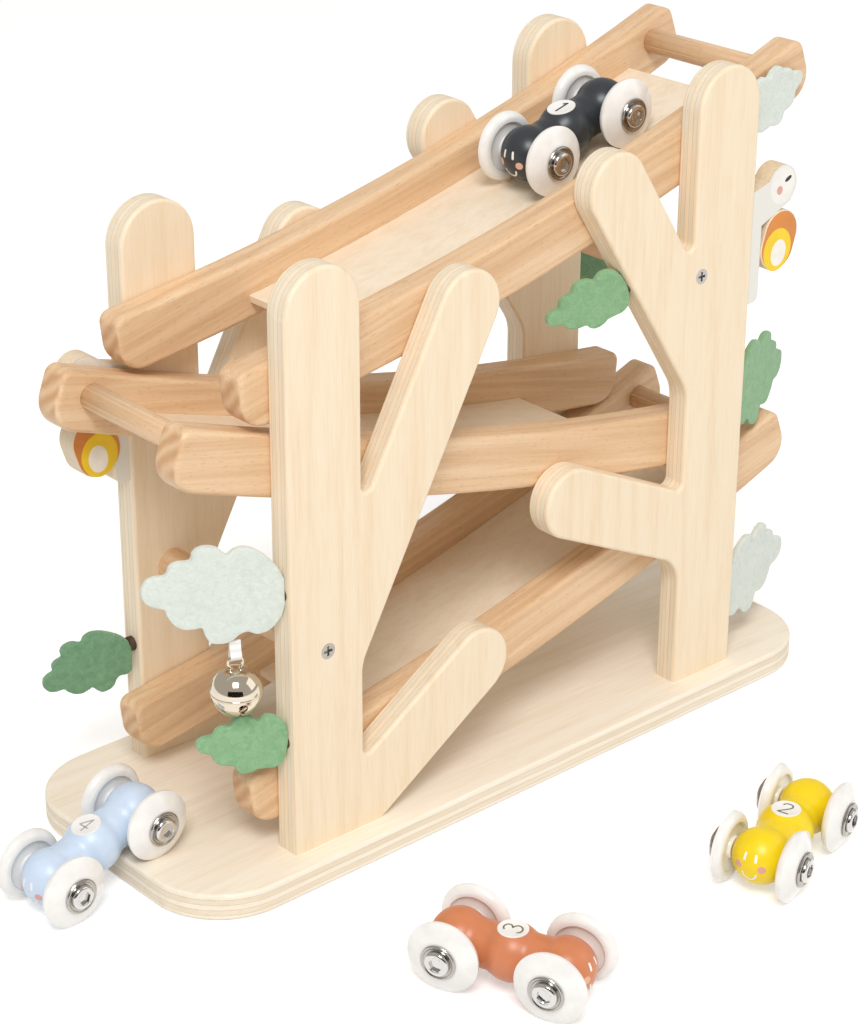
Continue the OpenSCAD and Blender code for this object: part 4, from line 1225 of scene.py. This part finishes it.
@dataclass
class Snail:
    """Flat wooden snail on the edge of a tree, with painted shell, face and body.

    Attributes:
        node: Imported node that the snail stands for.
        origin_mm: Lower end of its sole on the tree's edge.
        side: Minus one where its back points to the left, one to the right.
        shift_mm: Shift of its shell, across and up.
        height_mm: Height of the snail.
    """

    node: str
    origin_mm: tuple[float, float, float]
    side: int
    shift_mm: tuple[float, float] = (0.0, 0.0)
    height_mm: float = 62.0

    def place(self, x: float, z: float, y: float) -> Vector:
        """Puts a point, in shares of the height across and up, in the toy's frame in metres."""
        local = Vector((self.side * x * self.height_mm, y, z * self.height_mm))
        return (Vector(self.origin_mm) + local) * MM

    def on_shell(self, outline: Points) -> list[tuple[float, float]]:
        """Shifts an outline, in shares of the height, with the shell."""
        across, up = (shift / self.height_mm for shift in self.shift_mm)
        return [(x + across, z + up) for x, z in outline]

    def spot(self, name: str, finish: Finish, outline: Points, near: float, far: float, face: int) -> None:
        """Paints a closed shape on one face of the snail, as a thin skin.

        Args:
            name: Name of the spot.
            finish: Its paint.
            outline: Points in shares of the height, round the shape.
            near: Distance of the skin's inner side from the snail's middle, in millimetres.
            far: Distance of its outer side.
            face: Minus one for the front, one for the back.
        """
        points = np.array(outline)
        middle = points.mean(0)
        vertices = [self.place(*p, face * near) for p in points]
        vertices += [self.place(*p, face * far) for p in middle + (points - middle) * 0.985]
        vertices += [self.place(*middle, face * near), self.place(*middle, face * far)]
        count = len(points)
        faces = []
        for i in range(count):
            j = (i + 1) % count
            faces += [(i, j, count + j, count + i), (j, i, 2 * count), (count + i, count + j, 2 * count + 1)]
        piece = mesh_object(f"{self.node}_{name}_{'front' if face < 0 else 'back'}", vertices, faces)
        tidy(piece, 40)
        settle(piece, finish, body="toy")

    def build(self) -> None:
        """Makes the snail's body and paints both of its faces."""
        settle(softened(self.node, 1, 0.6), SNAIL_WOOD, self.node)
        low, high, reach = (0.29, 0.372), (0.32, 0.468), 0.169
        lean = math.atan2(high[0] - low[0], high[1] - low[1])
        turns = np.linspace(0, math.pi, 24)
        shell = [(low[0] + reach * math.cos(a + lean), low[1] - reach * math.sin(a + lean)) for a in turns]
        shell += [(high[0] - reach * math.cos(a + lean), high[1] + reach * math.sin(a + lean)) for a in turns]
        middle = ellipse((0.287, 0.354), (0.146, 0.160), 12)
        heart = ellipse((0.300, 0.328), (0.078, 0.100), 12)
        for face in (-1, 1):
            self.spot("shell", SHELL_ORANGE, self.on_shell(shell), 4.9, 5.05, face)
            self.spot("middle", SHELL_YELLOW, self.on_shell(middle), 4.95, 5.12, face)
            self.spot("eye_of_shell", SHELL_WHITE, self.on_shell(heart), 5.0, 5.18, face)
            self.spot("face", MARK_WHITE, ellipse((0.315, 0.826), (0.125, 0.140), 10), 4.4, 4.56, face)
            self.spot("cheek", CHEEK_PINK, ellipse((0.285, 0.795), (0.030, 0.032), 0), 4.45, 4.64, face)
            self.spot("eye", MARK_BLACK, ellipse((0.370, 0.866), (0.036, 0.015), -25), 4.45, 4.66, face)


def ellipse(middle: tuple[float, float], radii: tuple[float, float],
            turn: float) -> list[tuple[float, float]]:
    """Gives 40 points of a turned ellipse.

    Args:
        middle: Its middle.
        radii: Its two radii.
        turn: Turn towards the right from upright, in degrees.

    Returns:
        The points in order.
    """
    sine, cosine = math.sin(math.radians(turn)), math.cos(math.radians(turn))
    count = 40
    points = []
    for step in range(count):
        angle = 2 * math.pi * step / count
        x, y = radii[0] * math.cos(angle), radii[1] * math.sin(angle)
        points.append((middle[0] + x * cosine + y * sine, middle[1] - x * sine + y * cosine))
    return points


# Bell


@dataclass
class Bell:
    """Round bell with crossed slots, a wire eye and a folded ribbon that hangs from the first leaf.

    Attributes:
        top_mm: Upper end of the ribbon, under the leaf's lower edge.
        along: Direction along the leaf.
        eye_depth: Depth of the eye's middle under the ribbon's upper end, in millimetres.
        eye_radius: Radius of the eye.
        ball_radius: Radius of the round shell.
        shell_wall: Thickness of the shell's wall, by which the eye sinks into it.
        ribbon_width: Width of the ribbon.
        ribbon_thickness: Thickness of one layer of the ribbon.
        fold_depth: Depth of the middle of the ribbon's fold round the eye's wire.
        fold_radius: Radius of the fold.
    """

    top_mm: tuple[float, float, float] = (-149.774, -46.452, 114.311)
    along: tuple[float, float, float] = (-0.92718, 0.37461, 0.0)
    eye_depth: float = 10.0
    eye_radius: float = 3.0
    ball_radius: float = 10.5
    shell_wall: float = 0.8
    ribbon_width: float = 4.6
    ribbon_thickness: float = 0.4
    fold_depth: float = 7.0
    fold_radius: float = 1.75

    def place(self, along: float, out: float, up: float) -> Vector:
        """Puts a point, along the leaf, towards the front and up, in the toy's frame in metres."""
        way = Vector(self.along)
        front = Vector((-way.y, way.x, 0))
        return (Vector(self.top_mm) + way * along + front * out + Vector((0, 0, up))) * MM

    def build(self) -> None:
        """Dresses the shell and clapper, and folds the ribbon."""
        settle(smoothed("bell_shell", "bell_shell_metal", 40), BELL, "bell_shell")
        settle(smoothed("bell_clapper", "bell_clapper_metal", 40), BELL, "bell_clapper")
        middle = -self.eye_depth - self.eye_radius - self.ball_radius + self.shell_wall
        seam = []
        for step in range(13):
            angle = math.pi * step / 12 - math.pi / 2
            seam.append((self.ball_radius - 0.25 + 0.5 * math.cos(angle), 0.55 * math.sin(angle)))
        vertices, faces = turned([*seam, seam[0]], 72)
        ring = mesh_object("bell_seam", [self.place(x, y, z + middle) for x, y, z in vertices], faces)
        tidy(ring, 40)
        settle(ring, BELL, body="bell")
        self.ribbon()

    def ribbon(self) -> None:
        """Folds the ribbon through the eye, with both ends under the leaf's lower edge."""
        half, fold = self.ribbon_width / 2, self.fold_radius
        path = [(-0.3, -0.15), (-0.5, -1.5), (-0.6, -3.5), (-1.2, -5.4)]
        path += [(-fold * math.cos(a), -self.fold_depth - fold * math.sin(a))
                 for a in np.linspace(-0.4, math.pi + 0.4, 14)]
        path += [(1.2, -5.4), (0.6, -3.5), (0.5, -1.5), (0.3, -0.15)]
        line = np.array(path)
        _, sides = ways_and_sides(line)
        vertices = []
        for point, side in zip(line, sides):
            for face in (-1, 1):
                for across in (-half, -half / 2, 0, half / 2, half):
                    out, up = point + side * face * self.ribbon_thickness / 2
                    vertices.append(self.place(across, out, up))
        faces = []
        for i in range(len(line) - 1):
            a, b = 10 * i, 10 * (i + 1)
            order = [0, 1, 2, 3, 4, 9, 8, 7, 6, 5]
            for k in range(10):
                p, q = order[k], order[(k + 1) % 10]
                faces.append((a + p, a + q, b + q, b + p))
        last = 10 * (len(line) - 1)
        for k in range(4):
            faces.append((k, k + 5, k + 6, k + 1))
            faces.append((last + k, last + k + 1, last + k + 6, last + k + 5))
        piece = mesh_object("bell_ribbon_cloth", vertices, faces)
        tidy(piece, 40)
        settle(piece, SATIN_RIBBON, "bell_ribbon")


# Cars

# Strokes of each numeral on its disc, in millimetres across and up
NUMERALS: dict[int, list[list[tuple[float, float]]]] = {
    1: [[(-0.9, 1.7), (0.3, 2.9), (0.3, -2.9)]],
    2: [[(-1.7, 1.6), (-1.2, 2.5), (0.0, 2.9), (1.2, 2.5), (1.6, 1.5), (1.2, 0.4), (-1.8, -2.8),
         (1.9, -2.8)]],
    3: [[(-1.6, 2.2), (-0.6, 2.85), (0.6, 2.75), (1.35, 2.0), (1.2, 0.9), (0.2, 0.25), (1.3, -0.3),
         (1.8, -1.3), (1.2, -2.5), (0.0, -3.0), (-1.2, -2.7), (-1.8, -1.9)]],
    4: [[(0.7, -2.9), (0.7, 2.9), (-1.9, -0.9), (1.9, -0.9)]],
}


@dataclass
class Car:
    """Small car: three beads in one turned body, white wheels, chrome screws, a number and a simple face.

    Attributes:
        number: Number on its roof.
        paint: Paint of the body.
        marks: Paint of the eyes and the smile.
        cheeks: Paint of the cheeks.
        ink: Paint of the number.
        stroke: Width of the number's strokes, in millimetres.
        numeral_scale: Growth of the numerals from those drawn above.
        bead_radius: Radius of the three beads, in millimetres.
        bead_pitch: Distance from one bead's middle to the next one's.
        neck_radius: Radius of the soft necks between them.
        lift: Height of the beads' middles over the wheels' middles.
        side_flat: Distance of the flats under the wheels from the car's middle.
        seat_radius: Radius of the number disc and of its flat.
        wheel_radius: Radius of a wheel.
        wheel_width: Width of a wheel at its middle.
        wheel_face: Distance of a wheel's inner face from the car's middle.
        washer_face: Distance of a washer's inner face from the car's middle.
    """

    number: int
    paint: Paint
    marks: Paint
    cheeks: Paint
    ink: Paint = INK
    stroke: float = 0.70
    numeral_scale: float = 1.3
    bead_radius: float = 12.0
    bead_pitch: float = 22.6
    neck_radius: float = 9.6
    lift: float = 0.3
    side_flat: float = 11.6
    seat_radius: float = 6.2
    wheel_radius: float = 15.2
    wheel_width: float = 7.0
    wheel_face: float = 11.9
    washer_face: float = 19.2

    def __post_init__(self) -> None:
        """Finds the car's place from the joints of its wheels."""
        joints = {joint["name"]: joint for joint in frame["joints"]}
        spot = {}
        for end in ("front", "rear"):
            for side in ("left", "right"):
                spot[end, side] = Vector(joints[f"car_{self.number}_{end}_{side}_wheel_turn"]["pos_m"])
        left = (spot["front", "left"] - spot["front", "right"]).normalized()
        ahead = (spot["front", "left"] - spot["rear", "left"]).normalized()
        up = ahead.cross(left)
        self.turn = Matrix((ahead, left, up)).transposed()
        self.middle = sum(spot.values(), Vector()) / 4

    def place(self, points: Points | np.ndarray) -> list[Vector]:
        """Puts points of the car, in millimetres, in the toy's frame in metres."""
        return [self.middle + self.turn @ (Vector(point) * MM) for point in points]

    def make(self, name: str, points: Points | np.ndarray, faces: Iterable[Sequence[int]],
             sharp: float = 35.0) -> bpy.types.Object:
        """Makes a tidy mesh piece of the car."""
        return tidy(mesh_object(f"car_{self.number}_{name}", self.place(points), faces), sharp)

    def body(self) -> None:
        """Turns the three beads with soft necks, and cuts the flats for the wheels and the number."""
        radius, pitch = self.bead_radius, self.bead_pitch
        profile: list[tuple[float, float]] = []
        for step in range(141):
            t = step / 140
            x = -(pitch + radius) * math.cos(math.pi * t)
            total = 0.0
            for bead in (-1, 0, 1):
                inside = radius ** 2 - (x - bead * pitch) ** 2
                total += max(inside, 0) ** 9
            fade = min(max((pitch - abs(x)) / 7, 0), 1)
            total += (self.neck_radius * fade) ** 18
            profile.append((total ** (1 / 18), x))
        profile[0], profile[-1] = (0.0, -(pitch + radius)), (0.0, pitch + radius)
        vertices, faces = turned(profile, 96)
        points = np.stack([vertices[:, 2], vertices[:, 0], vertices[:, 1] + self.lift], 1)
        piece = mesh_object(f"car_{self.number}_body_paint", points, faces)
        shape = bmesh.new()
        shape.from_mesh(piece.data)
        bmesh.ops.recalc_face_normals(shape, faces=shape.faces)
        for side in (-1, 1):
            everything = [*shape.verts, *shape.edges, *shape.faces]
            cut_flat(shape, everything, (0, side * self.side_flat, 0), (0, side, 0))
        seat = self.lift + math.sqrt(radius ** 2 - self.seat_radius ** 2)
        # Only the middle bead gets the flat for the number, so the cut leaves the other two alone
        near = [f for f in shape.faces if abs(f.calc_center_median().x) < pitch / 2 - 0.5]
        parts = [*near, *(e for f in near for e in f.edges), *(v for f in near for v in f.verts)]
        cut_flat(shape, list(dict.fromkeys(parts)), (0, 0, seat), (0, 0, 1))
        for vert in shape.verts:
            vert.co = self.place([vert.co])[0]
        shape.to_mesh(piece.data)
        shape.free()
        tidy(piece, 20)
        settle(piece, self.paint, f"car_{self.number}_body")
        reach = self.seat_radius
        disc = [(0.0, seat - 0.3), (reach - 0.15, seat - 0.3), (reach, seat - 0.1), (reach, seat + 0.30),
                (reach - 0.12, seat + 0.45), (reach - 0.45, seat + 0.5), (reach - 0.8, seat + 0.36),
                (0.0, seat + 0.36)]
        vertices, faces = turned(disc, 64)
        settle(self.make("number_disc", vertices, faces), DISC_WHITE, body=f"car_{self.number}")
        for number, stroke in enumerate(NUMERALS[self.number]):
            self.roof_stroke(f"numeral_{number + 1}", stroke, seat + 0.30, seat + 0.44)

    def roof_stroke(self, name: str, line: Points, low: float, high: float) -> None:
        """Draws a stroke of the numeral on the disc, upright as seen from the car's front.

        Args:
            name: Name of the stroke.
            line: Points along the stroke, across and up, in millimetres.
            low: Height of its lower side over the wheels' middles.
            high: Height of its upper side.
        """
        fine = rounded_line(np.array(line), 10) * self.numeral_scale
        _, sides = ways_and_sides(fine)
        points = []
        for point, side in zip(fine, sides * self.stroke / 2):
            for x, y in (point - side, point + side):
                points += [(-y, x, low), (-y, x, high)]
        faces = []
        for i in range(len(fine) - 1):
            a, b = 4 * i, 4 * (i + 1)
            for p, q in ((0, 2), (2, 3), (3, 1), (1, 0)):
                faces.append((a + p, a + q, b + q, b + p))
        last = 4 * (len(fine) - 1)
        faces += [(0, 1, 3, 2), (last, last + 2, last + 3, last + 1)]
        settle(self.make(name, points, faces), self.ink, body=f"car_{self.number}")

    def on_ball(self, azimuth: float, elevation: float, height: float) -> np.ndarray:
        """Gives a point near the front bead's surface.

        Args:
            azimuth: Angle to the left from straight ahead, in degrees.
            elevation: Angle upwards, in degrees.
            height: Height over the surface, in millimetres.

        Returns:
            The point in millimetres.
        """
        a, e = math.radians(azimuth), math.radians(elevation)
        way = np.array([math.cos(e) * math.cos(a), math.cos(e) * math.sin(a), math.sin(e)])
        return np.array([self.bead_pitch, 0, self.lift]) + way * (self.bead_radius + height)

    def ball_patch(self, name: str, rim: Points, finish: Finish) -> None:
        """Paints a closed shape on the front bead.

        Args:
            name: Name of the shape.
            rim: Azimuths and elevations round the shape, in degrees.
            finish: Its paint.
        """
        loop = np.array(rim)
        middle = loop.mean(0)
        points = [self.on_ball(*p, 0.10) for p in middle + (loop - middle) * 0.93]
        points += [self.on_ball(*p, -0.15) for p in loop]
        points += [self.on_ball(*p, 0.12) for p in middle + (loop - middle) * 0.5]
        points += [self.on_ball(*middle, 0.13), self.on_ball(*middle, -0.2)]
        count = len(loop)
        faces = []
        for i in range(count):
            j = (i + 1) % count
            faces += [(count + i, count + j, j, i), (i, j, 2 * count + j, 2 * count + i),
                      (2 * count + i, 2 * count + j, 3 * count), (count + j, count + i, 3 * count + 1)]
        settle(self.make(name, points, faces, 50), finish, body=f"car_{self.number}")

    def ball_stroke(self, name: str, line: Points, width: float, finish: Finish) -> None:
        """Paints a stroke with round ends on the front bead.

        Args:
            name: Name of the stroke.
            line: Azimuths and elevations along the stroke, in degrees.
            width: Width of the stroke, in degrees.
            finish: Its paint.
        """
        fine = rounded_line(np.array(line), 8)
        ways, sides = ways_and_sides(fine)
        ends = ((0.48, 0.2), (0.35, 0.7))
        whole = [(fine[0] - ways[0] * width * k, share) for k, share in ends]
        whole += [(point, 1.0) for point in fine]
        whole += [(fine[-1] + ways[-1] * width * k, share) for k, share in reversed(ends)]
        points = []
        for (point, share), side in zip(whole, [sides[0]] * 2 + list(sides) + [sides[-1]] * 2):
            reach = side * width / 2 * share
            points += [self.on_ball(*(point - reach), -0.15), self.on_ball(*(point - reach), 0.07),
                       self.on_ball(*point, 0.12), self.on_ball(*(point + reach), 0.07),
                       self.on_ball(*(point + reach), -0.15)]
        faces = []
        for i in range(len(whole) - 1):
            a, b = 5 * i, 5 * (i + 1)
            for k in range(5):
                faces.append((a + k, a + (k + 1) % 5, b + (k + 1) % 5, b + k))
        last = 5 * (len(whole) - 1)
        faces += [(4, 3, 2, 1, 0), tuple(range(last, last + 5))]
        settle(self.make(name, points, faces, 50), finish, body=f"car_{self.number}")

    def face(self) -> None:
        """Paints two eye dashes, two cheeks and a smile on the front bead."""
        for name, azimuth in (("left", 12.5), ("right", -12.5)):
            self.ball_stroke(f"{name}_eye", [(azimuth, 17), (azimuth, 23), (azimuth, 29)], 5.6, self.marks)
            ring = [(azimuth * 2.05 + 8.6 * math.cos(t), 1.5 + 8.2 * math.sin(t)) for t in
                    np.linspace(0, 2 * math.pi, 28, endpoint=False)]
            self.ball_patch(f"{name}_cheek", ring, self.cheeks)
        smile = [(-15, -13), (-12, -21), (-5, -26.5), (5, -26.5), (12, -21), (15, -13)]
        self.ball_stroke("smile", smile, 4.2, self.marks)

    def wheels(self) -> None:
        """Turns the four domed wheels, with a ring-shaped hollow in the inner face and a round tread."""
        bore, tread, dome = 2.06, 3.4, 28.4
        low = self.wheel_width - math.sqrt(dome ** 2 - 7.5 ** 2)
        inner, outer = 0.3 * self.wheel_radius, 0.7 * self.wheel_radius
        profile = [(bore, 0.0), (inner - 0.1, 0.0), (inner + 0.15, 0.25), (inner + 0.5, 1.3),
                   (inner + 1.1, 1.5), (outer - 0.8, 1.5), (outer - 0.2, 1.2), (outer + 0.1, 0.3),
                   (outer + 0.4, 0.0), (self.wheel_radius - tread, 0.0)]
        for step in range(1, 12):
            angle = math.radians(-90 + step * 9.4)
            radius = self.wheel_radius - tread + tread * math.cos(angle)
            height = tread + tread * math.sin(angle)
            profile.append((radius, min(height, low + math.sqrt(dome ** 2 - radius ** 2))))
        for inset in (0.3, 0.8, 1.6, 2.6, 3.8, 5.2, 6.5, 7.2, 7.6):
            radius = self.wheel_radius - inset
            profile.append((radius, low + math.sqrt(dome ** 2 - radius ** 2)))
        profile += [(7.3, self.wheel_width), (bore, self.wheel_width), (bore, 0.0)]
        vertices, faces = turned(profile, 96)
        for end, x in (("front", 1), ("rear", -1)):
            for name, side in (("left", 1), ("right", -1)):
                points = [(x * self.bead_pitch + p[0], side * (self.wheel_face + p[2]), -side * p[1])
                          for p in vertices]
                node = f"car_{self.number}_{end}_{name}_wheel"
                piece = self.make(f"{end}_{name}_wheel_enamel", points, faces, 30)
                settle(piece, WHEEL_WHITE, node)

    def build(self) -> None:
        """Builds the whole car."""
        self.body()
        self.face()
        self.wheels()
        AxleScrews(self).build()


def cut_flat(shape: bmesh.types.BMesh, parts: list, place: Sequence[float], way: Sequence[float]) -> None:
    """Cuts a flat on a closed shape.

    Args:
        shape: The shape.
        parts: Its vertices, edges and faces that the cut may meet.
        place: A point of the flat.
        way: Direction that the flat faces.
    """
    cut = bmesh.ops.bisect_plane(shape, geom=parts, plane_co=place, plane_no=way, clear_outer=True)
    rim = [e for e in cut["geom_cut"] if isinstance(e, bmesh.types.BMEdge)]
    bmesh.ops.holes_fill(shape, edges=rim, sides=0)


def turns_sharply(first: np.ndarray, second: np.ndarray) -> bool:
    """Says whether a line turns sharply from one stretch to the next."""
    return np.dot(first, second) < SHARP_TURN * np.linalg.norm(first) * np.linalg.norm(second)


def rounded_line(line: np.ndarray, steps: int) -> np.ndarray:
    """Samples an open line through its points, with corners kept where the line turns sharply.

    Args:
        line: Points of the line.
        steps: Samples for each stretch.

    Returns:
        The samples.
    """
    fine = []
    for i in range(len(line) - 1):
        before, start, end, after = line[max(i - 1, 0)], line[i], line[i + 1], line[min(i + 2, len(line) - 1)]
        step = end - start
        first, last = (end - before) / 2, (after - start) / 2
        if i > 0 and turns_sharply(start - before, step):
            first = step
        if i + 2 < len(line) and turns_sharply(after - end, step):
            last = step
        for t in np.linspace(0, 1, steps, endpoint=False):
            fine.append((2 * t ** 3 - 3 * t ** 2 + 1) * start + (t ** 3 - 2 * t ** 2 + t) * first
                        + (-2 * t ** 3 + 3 * t ** 2) * end + (t ** 3 - t ** 2) * last)
    fine.append(line[-1])
    return np.array(fine)


@dataclass
class AxleScrews:
    """Four socket screws of a car and their dished washers, set out by Geometry Nodes.

    Attributes:
        car: Car that they hold.
        segments: Faces round each screw.
    """

    car: Car
    segments: int = 48

    def screw(self) -> bpy.types.Object:
        """Turns one screw, upright, with zero where its washer meets the wheel."""
        profile = [(0.0, -15.6), (2.0, -15.4), (2.0, 0.55), (4.9, 0.6), (5.2, 0.8), (5.2, 1.25), (5.1, 1.75),
                   (4.85, 2.15), (4.4, 2.45), (3.9, 2.57), (3.3, 2.6), (3.15, 2.5), (3.05, 2.42), (2.95, 1.2),
                   (0.0, 0.95)]
        socket_rings = (12, 13)
        vertices, faces = turned([(r * MM, h * MM) for r, h in profile], self.segments, socket_rings)
        return tidy(mesh_object("axle_screw_pattern", vertices, faces), 28)

    def washer(self) -> bpy.types.Object:
        """Turns one dished washer, upright, with zero where it meets the wheel."""
        profile = [(3.0, 0.0), (7.1, 0.0), (7.5, 0.25), (7.5, 0.6), (7.25, 0.95), (6.85, 1.1), (6.45, 1.0),
                   (6.1, 0.7), (5.55, 0.62), (3.0, 0.5), (3.0, 0.0)]
        vertices, faces = turned([(r * MM, h * MM) for r, h in profile], self.segments)
        return tidy(mesh_object("axle_washer_pattern", vertices, faces), 28)

    def tree(self) -> bpy.types.NodeTree:
        """Makes the node tree that sets a pattern on four points, facing outwards on both sides."""
        found = bpy.data.node_groups.get("axle_screw_set")
        if found is not None:
            return found
        tree = new_tree("axle_screw_set", Pattern="Object", Wheelbase="Float", Track="Float",
                        Finish="Material")
        given = add(tree, "NodeGroupInput")
        grid = add(tree, "GeometryNodeMeshGrid", {"Vertices X": 2, "Vertices Y": 2},
                   {"Size X": given.outputs["Wheelbase"], "Size Y": given.outputs["Track"]})
        points = add(tree, "GeometryNodeMeshToPoints", links={0: grid.outputs[0]})
        where = add(tree, "GeometryNodeInputPosition")
        parts = add(tree, "ShaderNodeSeparateXYZ", links={0: where.outputs[0]})
        side = add(tree, "ShaderNodeMath", {"operation": "SIGN"}, {0: parts.outputs["Y"]})
        tip = add(tree, "ShaderNodeMath", {"operation": "MULTIPLY", 1: -math.pi / 2}, {0: side.outputs[0]})
        # Each screw stops at its own turn, so that the sockets don't line up
        chance = add(tree, "FunctionNodeRandomValue", {"data_type": "FLOAT", "Seed": 11})
        chance.inputs[3].default_value = math.pi
        twist = add(tree, "FunctionNodeAxisAngleToRotation", {"Axis": (0.0, 0.0, 1.0)},
                    {"Angle": chance.outputs[1]})
        lie = add(tree, "FunctionNodeAxisAngleToRotation", {"Axis": (1.0, 0.0, 0.0)},
                  {"Angle": tip.outputs[0]})
        both = add(tree, "FunctionNodeRotateRotation", {"rotation_space": "LOCAL"},
                   {0: lie.outputs[0], 1: twist.outputs[0]})
        source = add(tree, "GeometryNodeObjectInfo", {"transform_space": "ORIGINAL"},
                     {0: given.outputs["Pattern"]})
        spread = add(tree, "GeometryNodeInstanceOnPoints", links={
            "Points": points.outputs[0], "Instance": source.outputs["Geometry"], "Rotation": both.outputs[0]})
        finish_tree(tree, spread, given)
        return tree

    def spread(self, pattern: bpy.types.Object, name: str, finish: Finish) -> bpy.types.Object:
        """Sets a pattern at the car's four wheels.

        Args:
            pattern: Upright screw or washer, which is removed.
            name: Name of the new piece.
            finish: Its finish.

        Returns:
            The new piece.
        """
        piece = grown(name, self.tree(), {
            "Pattern": pattern, "Wheelbase": 2 * self.car.bead_pitch * MM,
            "Track": 2 * self.car.washer_face * MM, "Finish": finish.material()})
        bpy.data.objects.remove(pattern)
        for vert in piece.data.vertices:
            vert.co = self.car.middle + self.car.turn @ vert.co
        return tidy(piece, 28)

    def build(self) -> None:
        """Sets the four screws and washers of the car."""
        car = f"car_{self.car.number}"
        settle(self.spread(self.screw(), f"{car}_axle_screws_chrome", CHROME), CHROME, f"{car}_axle_screws")
        # The washers get the darkened chrome, whose colour is painted shade and painted dark reflection
        settle(self.spread(self.washer(), f"{car}_axle_washers", SHADED_WASHER_CHROME), SHADED_WASHER_CHROME, body=car)


def main() -> None:
    """Builds the studio and every piece of the toy."""
    logging.basicConfig(level=logging.INFO, format="%(name)s %(message)s")
    Studio().build()
    Woodwork().build()
    RampFloor("top_floor", (-289.91, 1500.41), 6.5).build()
    RampFloor("middle_floor", (276.54, 1414.55), 5.9, mirrored=True).build()
    RampFloor("bottom_floor", (-289.91, 1324.34), 6.5).build()
    settle(smoothed("leaf_pegs", "leaf_pegs_wood"), DARK_PEG_PAINT, "leaf_pegs")
    for leaf in leaves():
        leaf.build()
    Snail("right_snail", (130.8, -52.5, 189.0), 1).build()
    Snail("left_snail", (-130.8, 52.5, 145.5), -1, (-3.0, -6.0)).build()
    Bell().build()
    Car(1, CHARCOAL, MARK_WHITE, CHEEK_PEACH, DARK_INK, 0.95).build()
    Car(2, YELLOW, MARK_WHITE, CHEEK_PINK).build()
    Car(3, ORANGE, MARK_WHITE, CHEEK_PEACH).build()
    Car(4, SKY_BLUE, MARK_WHITE, CHEEK_PINK, PALE_INK).build()


if __name__ == "__main__":
    main()
